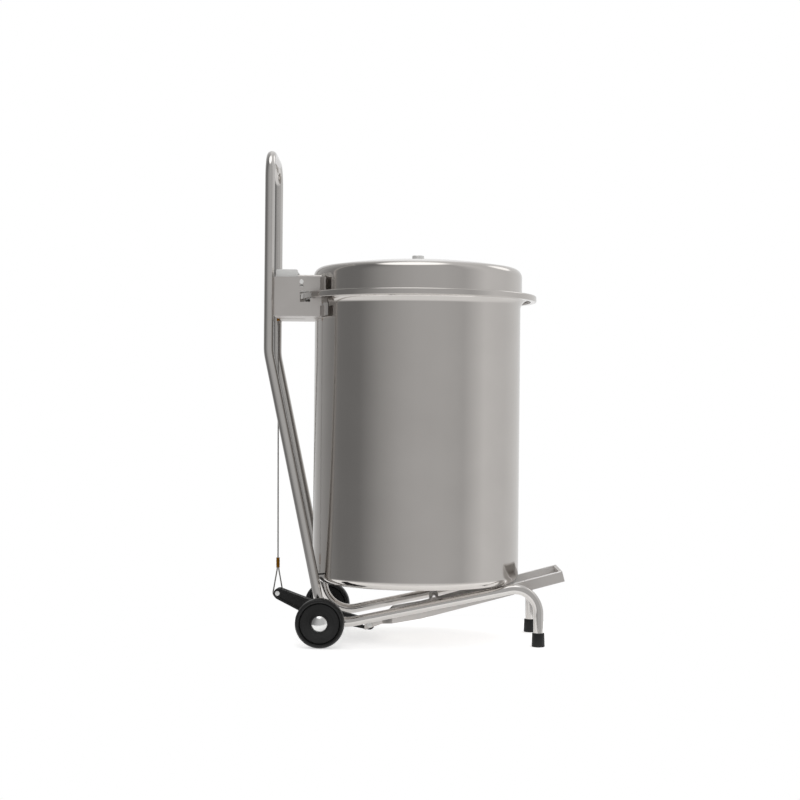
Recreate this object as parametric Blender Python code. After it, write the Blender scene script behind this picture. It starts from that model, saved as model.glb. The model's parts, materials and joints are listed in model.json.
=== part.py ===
"""Waste trolley: a steel pedal bin carried by a bent-tube frame with two wheels.

Metres, +Z up. The origin is on the floor under the bucket's axis, +X points to
the pedal, and the handle is at -X. Left is +Y.
"""
import math

import bmesh
import bpy
from mathutils import Matrix, Vector

# Clearances and facets
TOUCH = 0.0003            # gap between pieces that touch or run on each other
SLIP = 0.001              # gap round a piece that passes freely through a cut-out
ROUND_SEGMENTS = 48       # facets round the bucket, the ring and the lid
SMALL_SEGMENTS = 24       # facets round wheels, feet and caps
TYRE_SEGMENTS = 36
PIN_SEGMENTS = 12         # facets round pins, rods and their holes
TUBE_SIDES = 12
CABLE_SIDES = 10
LOOP_STEPS = 14
DOME_STEPS = 6
ARC_STEP = math.radians(20)
BEND_STEP = math.radians(18)

# Wheels and axle
WHEEL_D = 0.100
WHEEL_WIDTH = 0.030
WHEEL_GAP = 0.022         # between a wheel's inner face and the side tube
RIM_D = 0.0850            # seat of the tyre
RIM_DISC_IN = 0.006       # how far the rim's disc lies below the wheel's face
RIM_LIP = 0.004
HUB_D = 0.036
HUB_FLANGE = 0.006
HUB_STEP = 0.003
TYRE_BEVEL = 0.007
TYRE_EDGE = 0.0045
HUB_CAP_D = 0.0315
HUB_CAP_HEIGHT = 0.007
AXLE_D = 0.015
WASHER_D = 0.026
WASHER_T = 0.002

# Bent-tube frame
TUBE_D = 0.020
TUBE_SPACING = 0.216      # between the two side tubes' centre lines
LEAN = math.radians(12)   # the legs lean back and the base rises by the same angle
HANDLE_BACK = 0.0552      # handle tubes behind the carrying ring
HANDLE_HEIGHT = 1.018     # top of the handle above the floor
BOW_BEND_R = 0.050
BOW_LEG = 0.020           # straight end of the bow below its bends
KNEE_DROP = 0.097         # bend of the legs below the bucket's wall top
KNEE_BEND_R = 0.120
CORNER_DROP = 0.0145      # where the leg line meets the base line, below the axle
BASE_BEND_R = 0.060
FOOT_AHEAD = 0.0352       # feet in front of the bucket's wall
FOOT_BEND_R = 0.050

# Rubber feet and buffers
FOOT_TOP_D = 0.025
FOOT_BOTTOM_D = 0.027
FOOT_HEIGHT = 0.028
FOOT_SOLE = 0.006
BUFFER_D = 0.0065
BUFFER_RISE = 0.0227      # above the bucket's floor

# Bucket and its carrying ring
BUCKET_D = 0.434
SHEET = 0.0012
BUCKET_EDGE_R = 0.0145    # rounding between floor and wall
WALL_TOP = 0.695          # where the wall turns outwards
FLARE_R = 0.020
RIM_FLAT = 0.0072         # flat rim outside the flare
RING_HEIGHT = 0.013
RING_WALL = 0.006         # upright leg of the ring's angle section
RING_LEDGE = 0.006        # flat leg under the bucket's rim
RING_LEDGE_T = 0.0045
RING_EDGE_R = 0.0015

# Lid
LID_OVERLAP = 0.003       # lid skirt outside the bucket's wall, resting on the flare
LID_SKIRT = 0.045         # from the bucket's rim to where the shoulder starts
LID_SHOULDER_R = 0.019
LID_RISE = 0.036          # from the start of the shoulder to the top
BUTTON_D = 0.025
BUTTON_HEIGHT = 0.0108
BUTTON_CHAMFER = 0.001

# Hinge and its folded housing
HINGE_BACK = 0.0192       # behind the lid's skirt
HINGE_RISE = 0.0198       # above the carrying ring
HINGE_PIN_D = 0.006
HINGE_HEAD_D = 0.009
HINGE_HEAD_T = 0.0016
HOUSING_DROP = 0.0225     # floor of the housing below the bucket's wall top
HOUSING_RISE = 0.014      # top of the housing above the hinge
HOUSING_GAP = 0.0102      # between the housing's front edge and the bucket
HOUSING_T = 0.0025
HOUSING_BEND_R = 0.004
TOP_FLANGE_BACK = 0.0072  # rear end of the top flange behind the hinge
TOP_FLANGE_WIDTH = 0.0072
SIDE_FLANGE = 0.022       # length of the flanges that follow the bucket
LOWER_FLANGE_HEIGHT = 0.0215
UPPER_FLANGE_GAP = 0.0013
RING_SLOT_LENGTH = 0.021
RING_SLOT_BACK = 0.0164
RING_SLOT_DROP = 0.0085
SPRING_SLOT_LENGTH = 0.007
SPRING_SLOT_HEIGHT = 0.004
SPRING_SLOT_DROP = 0.008
CABLE_SLOT_WIDTH = 0.014
CABLE_SLOT_AHEAD = 0.0018 # front end of the slot before the hinge

# Lever on the lid, which the cable pulls down
LEVER_SIDE_GAP = 0.0025   # between the lever and the handle tubes
LEVER_T = 0.003
LEVER_REACH = 0.0538      # behind the hinge
LEVER_STEP_BACK = 0.0086  # front end of the raised part behind the hinge
LEVER_RISE = 0.0262       # raised part above the hinge
LEVER_LOW_RISE = 0.009
LEVER_REAR_DROP = 0.0038
LEVER_CORNER_R = 0.004
STRAP_HEIGHT = 0.022
HINGE_BOSS_R = 0.008
ANCHOR_BACK = 0.0563      # cable pin behind the hinge
ANCHOR_RISE = 0.019
ANCHOR_PIN_D = 0.006
ANCHOR_EAR_R = 0.0052
ANCHOR_EAR_GAP = 0.010

# Black rocker on the axle
ROCKER_PIN_BACK = 0.0969  # cable pin behind the axle
ROCKER_PIN_RISE = 0.0427
ROCKER_TIP_R = 0.0115
ROCKER_TIP_IN = 0.004     # centre of the tip's rounding before the cable pin
ROCKER_HUB_R = 0.0175
ROCKER_ARM_R = 0.0145     # root of the front arm inside the hub
ROCKER_END_R = 0.0105
ROCKER_WIDTH = 0.030
ROCKER_FORK_GAP = 0.010
ROCKER_END_WIDTH = 0.018
ROCKER_RIM = 0.0035       # rib left round the moulded pockets
POCKET_DEPTH = 0.004
ROCKER_PIN_D = 0.006
ROCKER_PIN_HEAD_D = 0.010
PIN_HEAD_T = 0.0016
COLLAR_D = 0.025
COLLAR_WIDTH = 0.008

# Cable
CABLE_D = 0.003
BUSH_D = 0.017
FERRULE_D = 0.0076
FERRULE_LENGTH = 0.021
LOWER_FERRULE_RISE = 0.0531
UPPER_FERRULE_DROP = 0.0045
UPPER_LOOP_PLAY = 0.0055  # room between the upper loop and its pin

# Pedal
PEDAL_HALF_WIDTH = 0.065
PEDAL_T = 0.0025
PEDAL_WALL = 0.0214
PEDAL_AHEAD = 0.0578      # pedal tip in front of the feet
PEDAL_SLOPE = math.radians(15.1)
TAIL_SLOPE = math.radians(10.2)
PEDAL_LIP = 0.006
PIVOT_BACK = 0.2116       # pedal rod behind the feet
PIVOT_ROD_D = 0.010
PIVOT_EAR_R = 0.010
BEND_BACK = 0.0265        # bend of the pedal's floor behind the rod
BEND_DROP = 0.0344
TAIL_END = 0.0106         # tail behind the link pin
TAIL_NARROW = 0.027       # taper's narrow end before the link pin
TAIL_TAPER = 0.021        # length of the taper
LINK_AHEAD = 0.0978       # link pin before the axle
LINK_DROP = 0.0224
LINK_FLOOR = 0.0068       # link pin above the tail's floor
LINK_PIN_D = 0.007
LINK_HEAD_D = 0.011
LINK_EAR_R = 0.0072
LINK_SLOT_PLAY = 0.0022
LINK_SLOT_IN = 0.0115
LINK_SLOT_OUT = 0.0010

# Derived places: bucket, ring, lid and handle
TUBE_R = TUBE_D / 2
TUBE_Y = TUBE_SPACING / 2
BUCKET_R = BUCKET_D / 2
RING_R = BUCKET_R + FLARE_R + RIM_FLAT + TOUCH + RING_WALL
RIM_R = RING_R - RING_WALL - TOUCH
LID_R = BUCKET_R + LID_OVERLAP
HANDLE_X = -RING_R - HANDLE_BACK
FOOT_X = BUCKET_R + FOOT_AHEAD
KNEE_Z = WALL_TOP - KNEE_DROP
AXLE_Z = WHEEL_D / 2
CORNER_Z = AXLE_Z - CORNER_DROP
CORNER_X = HANDLE_X + (KNEE_Z - CORNER_Z) * math.tan(LEAN)
BOW_Z = HANDLE_HEIGHT - TUBE_R
WHEEL_Y = TUBE_Y + TUBE_R + WHEEL_GAP + WHEEL_WIDTH / 2


def base_line_z(x):
    return CORNER_Z + (x - CORNER_X) * math.tan(LEAN)


# The bucket stands on the rising base tubes where its rounded edge is as steep as they are
FLOOR_R = BUCKET_R - BUCKET_EDGE_R
SEAT_R = FLOOR_R + BUCKET_EDGE_R * math.sin(LEAN)
SEAT_X = math.sqrt(SEAT_R ** 2 - TUBE_Y ** 2)
SEAT_ANGLE = math.atan(math.tan(LEAN) * SEAT_R / SEAT_X)
SEAT_DROP = BUCKET_EDGE_R * (1 - math.cos(SEAT_ANGLE))
BUCKET_BOTTOM = base_line_z(SEAT_X) + TUBE_R / math.cos(LEAN) + TOUCH - SEAT_DROP
BUFFER_Z = BUCKET_BOTTOM + BUFFER_RISE
RIM_BOTTOM = WALL_TOP + FLARE_R
RIM_TOP = RIM_BOTTOM + SHEET
RING_TOP = RIM_BOTTOM - TOUCH - RING_LEDGE_T + RING_HEIGHT
RING_BOTTOM = RING_TOP - RING_HEIGHT

# The axle lies in the outer curve of the frame's rear bends
BEND_TURN = math.tan(math.radians(45))
BEND_CENTRE_X = CORNER_X + BASE_BEND_R * (math.cos(LEAN) - BEND_TURN * math.sin(LEAN))
BEND_CENTRE_Z = CORNER_Z + BASE_BEND_R * (math.sin(LEAN) + BEND_TURN * math.cos(LEAN))
AXLE_REACH = BASE_BEND_R + TUBE_R + AXLE_D / 2 + TOUCH
AXLE_X = BEND_CENTRE_X - math.sqrt(AXLE_REACH ** 2 - (BEND_CENTRE_Z - AXLE_Z) ** 2)

# Lid, hinge and housing
LID_SKIRT_TOP = RIM_TOP + LID_SKIRT
LID_TOP = LID_SKIRT_TOP + LID_RISE
LID_SHOULDER_X = LID_R - LID_SHOULDER_R
DOME_R = ((LID_SHOULDER_X ** 2 - LID_SHOULDER_R ** 2 + LID_RISE ** 2)
          / (2 * (LID_RISE - LID_SHOULDER_R)))
HINGE_X = -LID_R - HINGE_BACK
HINGE_Z = RING_TOP + HINGE_RISE
HOUSING_BOTTOM = WALL_TOP - HOUSING_DROP
HOUSING_TOP = HINGE_Z + HOUSING_RISE
HOUSING_FRONT = -math.sqrt(BUCKET_R ** 2 - TUBE_Y ** 2) - HOUSING_GAP
TOP_FLANGE_REAR = HINGE_X - TOP_FLANGE_BACK
LOWER_FLANGE_TOP = HOUSING_BOTTOM + LOWER_FLANGE_HEIGHT
UPPER_FLANGE_BOTTOM = RING_TOP + UPPER_FLANGE_GAP
RING_SLOT_REAR = -math.sqrt(RING_R ** 2 - TUBE_Y ** 2) - RING_SLOT_BACK
RING_SLOT_BOTTOM = RING_BOTTOM - RING_SLOT_DROP
CABLE_SLOT_FRONT = HINGE_X + CABLE_SLOT_AHEAD
LEVER_HALF_WIDTH = TUBE_Y - TUBE_R - LEVER_SIDE_GAP
LEVER_REAR = HINGE_X - LEVER_REACH
LEVER_STEP = HINGE_X - LEVER_STEP_BACK
LEVER_TOP = HINGE_Z + LEVER_RISE
LEVER_LOW_TOP = HINGE_Z + LEVER_LOW_RISE
LEVER_REAR_BOTTOM = HINGE_Z - LEVER_REAR_DROP
ANCHOR_X = HINGE_X - ANCHOR_BACK
ANCHOR_Z = HINGE_Z + ANCHOR_RISE

# Rocker, cable and pedal
ROCKER_PIN_X = AXLE_X - ROCKER_PIN_BACK
ROCKER_PIN_Z = AXLE_Z + ROCKER_PIN_RISE
LOWER_FERRULE_Z = ROCKER_PIN_Z + LOWER_FERRULE_RISE
UPPER_FERRULE_Z = HOUSING_BOTTOM - UPPER_FERRULE_DROP
LINK_X = AXLE_X + LINK_AHEAD
LINK_Z = AXLE_Z - LINK_DROP
PIVOT_X = FOOT_X - PIVOT_BACK
PIVOT_Z = base_line_z(PIVOT_X)
PEDAL_TIP_X = FOOT_X + PEDAL_AHEAD
PEDAL_BEND_X = PIVOT_X - BEND_BACK
PEDAL_BEND_Z = PIVOT_Z - BEND_DROP
TAIL_END_X = LINK_X - TAIL_END
TAIL_NARROW_X = LINK_X + TAIL_NARROW
TAIL_WIDE_X = TAIL_NARROW_X + TAIL_TAPER

# Colours are base colour, roughness and metallic value
STEEL = ("stainless_steel", (0.56, 0.57, 0.58, 1), 0.25, 1.0)
BRIGHT = ("bright_steel", (0.72, 0.72, 0.73, 1), 0.15, 1.0)
BLACK_PLASTIC = ("black_plastic", (0.02, 0.02, 0.022, 1), 0.45, 0.0)
RUBBER = ("black_rubber", (0.015, 0.015, 0.016, 1), 0.7, 0.0)
COPPER = ("copper_crimp", (0.35, 0.17, 0.09, 1), 0.4, 1.0)


def clear_scene():
    for old in list(bpy.data.objects):
        bpy.data.objects.remove(old, do_unlink=True)


def paint(thing, finish):
    label, colour, roughness, metallic = finish
    material = bpy.data.materials.new(thing.name + "_" + label)
    material.use_nodes = True
    shader = material.node_tree.nodes["Principled BSDF"]
    shader.inputs["Base Color"].default_value = colour
    shader.inputs["Roughness"].default_value = roughness
    shader.inputs["Metallic"].default_value = metallic
    thing.data.materials.clear()
    thing.data.materials.append(material)


def finish_mesh(bm, name):
    bmesh.ops.recalc_face_normals(bm, faces=bm.faces)
    mesh = bpy.data.meshes.new(name)
    bm.to_mesh(mesh)
    bm.free()
    mesh.shade_smooth()
    mesh.set_sharp_from_angle(angle=math.radians(35))
    thing = bpy.data.objects.new(name, mesh)
    bpy.context.collection.objects.link(thing)
    return thing


def combine(target, tool, operation):
    """Joins or cuts target with tool, and removes the tool."""
    modifier = target.modifiers.new("combine", "BOOLEAN")
    modifier.operation = operation
    modifier.solver = "EXACT"
    modifier.object = tool
    depsgraph = bpy.context.evaluated_depsgraph_get()
    target.data = bpy.data.meshes.new_from_object(target.evaluated_get(depsgraph))
    target.modifiers.clear()
    bpy.data.objects.remove(tool, do_unlink=True)
    return target


def join(target, *tools):
    for tool in tools:
        combine(target, tool, "UNION")
    return target


def cut(target, *tools):
    for tool in tools:
        combine(target, tool, "DIFFERENCE")
    return target


def arc(centre, radius, start, end):
    """Points along an arc of a profile, both ends included."""
    steps = max(2, round(abs(end - start) / ARC_STEP))
    angles = [start + (end - start) * i / steps for i in range(steps + 1)]
    return [(centre[0] + radius * math.cos(a), centre[1] + radius * math.sin(a)) for a in angles]


def revolve(name, profile, centre=(0, 0, 0), axis="Z", segments=ROUND_SEGMENTS):
    """Turns a closed profile of (radius, height) points about an axis through centre."""
    bm = bmesh.new()
    columns = []
    for radius, height in profile:
        if radius < 1e-6:
            columns.append([bm.verts.new((0, 0, height))] * segments)
            continue
        angles = [2 * math.pi * i / segments for i in range(segments)]
        columns.append([bm.verts.new((radius * math.cos(a), radius * math.sin(a), height)) for a in angles])
    for here, after in zip(columns, columns[1:] + columns[:1]):
        for i in range(segments):
            j = (i + 1) % segments
            corners = []
            for vert in (here[i], here[j], after[j], after[i]):
                if vert not in corners:
                    corners.append(vert)
            if len(corners) > 2:
                bm.faces.new(corners)
    turn = Matrix.Rotation(math.radians(-90), 4, "X") if axis == "Y" else Matrix.Identity(4)
    bmesh.ops.transform(bm, matrix=Matrix.Translation(centre) @ turn, verts=bm.verts)
    return finish_mesh(bm, name)


def rod(name, x, z, y_from, y_to, diameter, segments=PIN_SEGMENTS):
    """A round bar along Y."""
    radius = diameter / 2
    profile = [(0, y_from), (radius, y_from), (radius, y_to), (0, y_to)]
    return revolve(name, profile, (x, 0, z), "Y", segments)


def collar(name, x, z, y_from, y_to, inner_r, outer_r):
    profile = [(inner_r, y_from), (outer_r, y_from), (outer_r, y_to), (inner_r, y_to)]
    return revolve(name, profile, (x, 0, z), "Y", PIN_SEGMENTS)


def headed_pin(name, x, z, half_length, diameter, head_d, head_t):
    """A pin along Y with a flat head outside each end of its length."""
    radius, head_r, end = diameter / 2, head_d / 2, half_length + head_t
    profile = [(0, -end), (head_r, -end), (head_r, -half_length), (radius, -half_length),
               (radius, half_length), (head_r, half_length), (head_r, end), (0, end)]
    return revolve(name, profile, (x, 0, z), "Y", PIN_SEGMENTS)


def slab(name, outline, low, high, plane="XZ"):
    """A closed outline pulled out square to its plane, from low to high."""
    bm = bmesh.new()
    place = {"XZ": lambda a, b, c: (a, c, b), "XY": lambda a, b, c: (a, b, c),
             "YZ": lambda a, b, c: (c, a, b)}[plane]
    bottom = [bm.verts.new(place(a, b, low)) for a, b in outline]
    top = [bm.verts.new(place(a, b, high)) for a, b in outline]
    bm.faces.new(bottom)
    bm.faces.new(top)
    for i in range(len(outline)):
        j = (i + 1) % len(outline)
        bm.faces.new((bottom[i], bottom[j], top[j], top[i]))
    return finish_mesh(bm, name)


def block(name, low, high):
    outline = [(low[0], low[1]), (high[0], low[1]), (high[0], high[1]), (low[0], high[1])]
    return slab(name, outline, low[2], high[2], "XY")


def sweep(name, path, radius, sides=TUBE_SIDES):
    """A round bar along a path of points, with flat ends."""
    points = [Vector(p) for p in path]
    bm = bmesh.new()
    rings = []
    side = None
    for i, point in enumerate(points):
        ahead = (points[min(i + 1, len(points) - 1)] - point)
        behind = (point - points[max(i - 1, 0)])
        along = (ahead.normalized() + behind.normalized()).normalized()
        if side is None:
            side = along.orthogonal().normalized()
        side = (side - along * side.dot(along)).normalized()
        over = along.cross(side)
        stretch = 1.0
        if 0 < i < len(points) - 1:
            stretch = 1.0 / max(0.5, along.dot(ahead.normalized()))
        bend = (ahead.normalized() - behind.normalized())
        ring = []
        for k in range(sides):
            angle = 2 * math.pi * (k + 0.5) / sides
            offset = radius * (math.cos(angle) * side + math.sin(angle) * over)
            if bend.length > 1e-6 and 0 < i < len(points) - 1:
                inward = bend.normalized()
                offset += inward * offset.dot(inward) * (stretch - 1.0)
            ring.append(bm.verts.new(point + offset))
        rings.append(ring)
    for here, after in zip(rings, rings[1:]):
        for k in range(sides):
            j = (k + 1) % sides
            bm.faces.new((here[k], here[j], after[j], after[k]))
    bm.faces.new(rings[0])
    bm.faces.new(rings[-1])
    return finish_mesh(bm, name)


def bent_path(corners, radii):
    """The points of a path through corners whose bends have the given radii."""
    corners = [Vector(c) for c in corners]
    path = [corners[0]]
    for before, corner, after, radius in zip(corners, corners[1:], corners[2:], radii):
        into = (before - corner).normalized()
        out = (after - corner).normalized()
        turn = math.pi - into.angle(out)
        setback = radius * math.tan(turn / 2)
        centre = corner + (into + out).normalized() * (radius / math.cos(turn / 2))
        start = corner + into * setback - centre
        normal = start.cross(corner + out * setback - centre).normalized()
        steps = max(2, round(turn / BEND_STEP))
        for i in range(steps + 1):
            path.append(centre + Matrix.Rotation(turn * i / steps, 3, normal) @ start)
    return path + [corners[-1]]


def link_outline(first, first_r, second, second_r):
    """Outline of a bar between two round ends with tangent sides."""
    span = Vector(second) - Vector(first)
    heading = math.atan2(span.y, span.x)
    spread = math.acos((first_r - second_r) / span.length)
    return (arc(second, second_r, heading - spread, heading + spread)
            + arc(first, first_r, heading + spread, heading + 2 * math.pi - spread))


def slot_outline(start, end, radius):
    return link_outline(start, radius, end, radius)


def rounded(outline, radii):
    """An outline of (a, b) points with the corners that have a radius rounded."""
    points = []
    count = len(outline)
    for i, radius in enumerate(radii):
        corner = Vector(outline[i])
        if radius == 0:
            points.append(tuple(corner))
            continue
        into = (Vector(outline[i - 1]) - corner).normalized()
        out = (Vector(outline[(i + 1) % count]) - corner).normalized()
        half = into.angle(out) / 2
        centre = corner + (into + out).normalized() * (radius / math.sin(half))
        start = corner + into * (radius / math.tan(half)) - centre
        end = corner + out * (radius / math.tan(half)) - centre
        turn = start.angle_signed(end)
        steps = max(2, round(abs(turn) / ARC_STEP))
        for k in range(steps + 1):
            swing = Matrix.Rotation(-turn * k / steps, 2)
            points.append(tuple(centre + swing @ start))
    return points


def hang(pivot_name, pivot, things):
    """Gives moving pieces a pivot empty on their joint's axis."""
    empty = bpy.data.objects.new(pivot_name, None)
    empty.location = pivot
    bpy.context.collection.objects.link(empty)
    for thing in things:
        thing.data.transform(Matrix.Translation(-Vector(pivot)))
        thing.parent = empty


SIDES = (("left", 1), ("right", -1))


def make_frame():
    foot_corner = base_line_z(FOOT_X)
    split = BOW_Z - BOW_BEND_R - BOW_LEG
    for label, sign in SIDES:
        y = sign * TUBE_Y
        corners = [(FOOT_X, y, FOOT_SOLE + TOUCH), (FOOT_X, y, foot_corner), (CORNER_X, y, CORNER_Z),
                   (HANDLE_X, y, KNEE_Z), (HANDLE_X, y, split - TOUCH)]
        path = bent_path(corners, (FOOT_BEND_R, BASE_BEND_R, KNEE_BEND_R))
        paint(sweep("frame_tube_" + label, path, TUBE_R), STEEL)
    corners = [(HANDLE_X, -TUBE_Y, split), (HANDLE_X, -TUBE_Y, BOW_Z),
               (HANDLE_X, TUBE_Y, BOW_Z), (HANDLE_X, TUBE_Y, split)]
    paint(sweep("handle_bow", bent_path(corners, (BOW_BEND_R, BOW_BEND_R)), TUBE_R), STEEL)


def make_feet():
    bore = TUBE_R + TOUCH
    profile = [(0, 0), (FOOT_BOTTOM_D / 2, 0), (FOOT_TOP_D / 2, FOOT_HEIGHT), (bore, FOOT_HEIGHT),
               (bore, FOOT_SOLE), (0, FOOT_SOLE)]
    for label, sign in SIDES:
        centre = (FOOT_X, sign * TUBE_Y, 0)
        paint(revolve("foot_cap_" + label, profile, centre, "Z", SMALL_SEGMENTS), RUBBER)


def make_buffers():
    leg_x = CORNER_X - (BUFFER_Z - CORNER_Z) * math.tan(LEAN)
    reach = math.hypot(leg_x, TUBE_Y)
    for label, sign in SIDES:
        outward = Vector((leg_x, sign * TUBE_Y, 0)) / reach
        start = outward * (BUCKET_R + TOUCH)
        end = outward * (reach - TUBE_R - TOUCH - BUFFER_D / 2 * math.tan(LEAN))
        lift = Vector((0, 0, BUFFER_Z))
        paint(sweep("bucket_buffer_" + label, [start + lift, end + lift], BUFFER_D / 2), RUBBER)


def make_wheels():
    half = WHEEL_WIDTH / 2
    bore = AXLE_D / 2 + TOUCH
    rim_r = RIM_D / 2
    hub_r = HUB_D / 2
    face = half - HUB_STEP / 2
    disc = half - RIM_DISC_IN
    step = half - HUB_STEP
    flange_r = hub_r + HUB_FLANGE
    side = [(bore, half), (hub_r, half), (hub_r + SLIP, step), (flange_r, step),
            (flange_r + HUB_STEP, disc), (rim_r - RIM_LIP, disc), (rim_r - RIM_LIP / 2, face), (rim_r, face)]
    rim = side + [(r, -w) for r, w in reversed(side)]
    tyre_r = WHEEL_D / 2
    tread = [(rim_r + TOUCH, face), (rim_r + TYRE_EDGE / 2, half), (rim_r + TYRE_EDGE, half - TOUCH),
             (tyre_r - SLIP, half - TYRE_BEVEL / 2), (tyre_r, half - TYRE_BEVEL)]
    tyre = tread + [(r, -w) for r, w in reversed(tread)]
    cap_r = HUB_CAP_D / 2
    bulge = (cap_r ** 2 + HUB_CAP_HEIGHT ** 2) / (2 * HUB_CAP_HEIGHT)
    span = math.asin(cap_r / bulge)
    slopes = [span * i / DOME_STEPS for i in range(DOME_STEPS, -1, -1)]
    dome = [(bulge * math.sin(a), bulge * (math.cos(a) - math.cos(span))) for a in slopes]
    axle_end = WHEEL_Y + half - TOUCH
    paint(rod("axle", AXLE_X, AXLE_Z, -axle_end, axle_end, AXLE_D, SMALL_SEGMENTS), STEEL)
    for label, sign in SIDES:
        centre = (AXLE_X, sign * WHEEL_Y, AXLE_Z)
        wheel = [revolve("wheel_rim_" + label, rim, centre, "Y", SMALL_SEGMENTS),
                 revolve("tyre_" + label, tyre, centre, "Y", TYRE_SEGMENTS)]
        paint(wheel[0], BLACK_PLASTIC)
        paint(wheel[1], RUBBER)
        hang("wheel_axis_" + label, centre, wheel)
        cap_face = WHEEL_Y + half + TOUCH
        cap = [(0, sign * cap_face)] + [(r, sign * (cap_face + h)) for r, h in dome]
        paint(revolve("hub_cap_" + label, cap, (AXLE_X, 0, AXLE_Z), "Y", SMALL_SEGMENTS), BRIGHT)
        washer = WHEEL_Y - half - TOUCH
        inner, outer = sorted((sign * (washer - WASHER_T), sign * washer))
        paint(collar("wheel_washer_" + label, AXLE_X, AXLE_Z, inner, outer, bore, WASHER_D / 2), STEEL)


def make_bucket():
    flare_centre = (BUCKET_R + FLARE_R, WALL_TOP)
    edge_centre = (FLOOR_R, BUCKET_BOTTOM + BUCKET_EDGE_R)
    up, down, across = math.pi / 2, -math.pi / 2, math.pi
    outside = ([(0, BUCKET_BOTTOM)] + arc(edge_centre, BUCKET_EDGE_R, down, 0)
               + arc(flare_centre, FLARE_R, across, up) + [(RIM_R, RIM_BOTTOM)])
    inside = ([(RIM_R, RIM_TOP)] + arc(flare_centre, FLARE_R + SHEET, up, across)
              + arc(edge_centre, BUCKET_EDGE_R - SHEET, 0, down) + [(0, BUCKET_BOTTOM + SHEET)])
    paint(revolve("bucket", outside + inside), STEEL)
    inner_r = RING_R - RING_WALL
    ledge_top = RIM_BOTTOM - TOUCH
    ring = ([(inner_r - RING_LEDGE, RING_BOTTOM), (RING_R, RING_BOTTOM)]
            + arc((RING_R - RING_EDGE_R, RING_TOP - RING_EDGE_R), RING_EDGE_R, 0, up)
            + [(inner_r, RING_TOP), (inner_r, ledge_top), (inner_r - RING_LEDGE, ledge_top)])
    paint(revolve("carrying_ring", ring), STEEL)


def lid_seat_z():
    """Height at which the lid's skirt meets the inside of the bucket's flare."""
    reach = BUCKET_R + FLARE_R - LID_R
    return WALL_TOP + math.sqrt((FLARE_R + SHEET) ** 2 - reach ** 2) + TOUCH


def dome_profile(shrink):
    """Outer lid profile from the skirt's foot to the apex, moved inwards by shrink."""
    start = math.atan2(LID_SKIRT_TOP - (LID_TOP - DOME_R), LID_SHOULDER_X)
    shoulder = arc((LID_SHOULDER_X, LID_SKIRT_TOP), LID_SHOULDER_R - shrink, 0, start)
    dome_r = DOME_R - shrink
    crown = []
    for i in range(1, DOME_STEPS):
        angle = start + (math.pi / 2 - start) * i / DOME_STEPS
        crown.append((dome_r * math.cos(angle), LID_TOP - DOME_R + dome_r * math.sin(angle)))
    return shoulder + crown + [(0, LID_TOP - shrink)]


def make_lid():
    foot = lid_seat_z()
    outside = [(LID_R, foot)] + dome_profile(0)
    inside = [(LID_R - SHEET, foot)] + dome_profile(SHEET)
    lid = revolve("lid", outside + inside[::-1])
    paint(lid, STEEL)
    button_r = BUTTON_D / 2
    base = LID_TOP + TOUCH
    top = base + BUTTON_HEIGHT
    profile = [(0, base), (button_r, base), (button_r, top - BUTTON_CHAMFER),
               (button_r - BUTTON_CHAMFER, top), (0, top)]
    button = revolve("lid_button", profile, segments=SMALL_SEGMENTS)
    paint(button, BRIGHT)
    return [lid, button]


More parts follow.
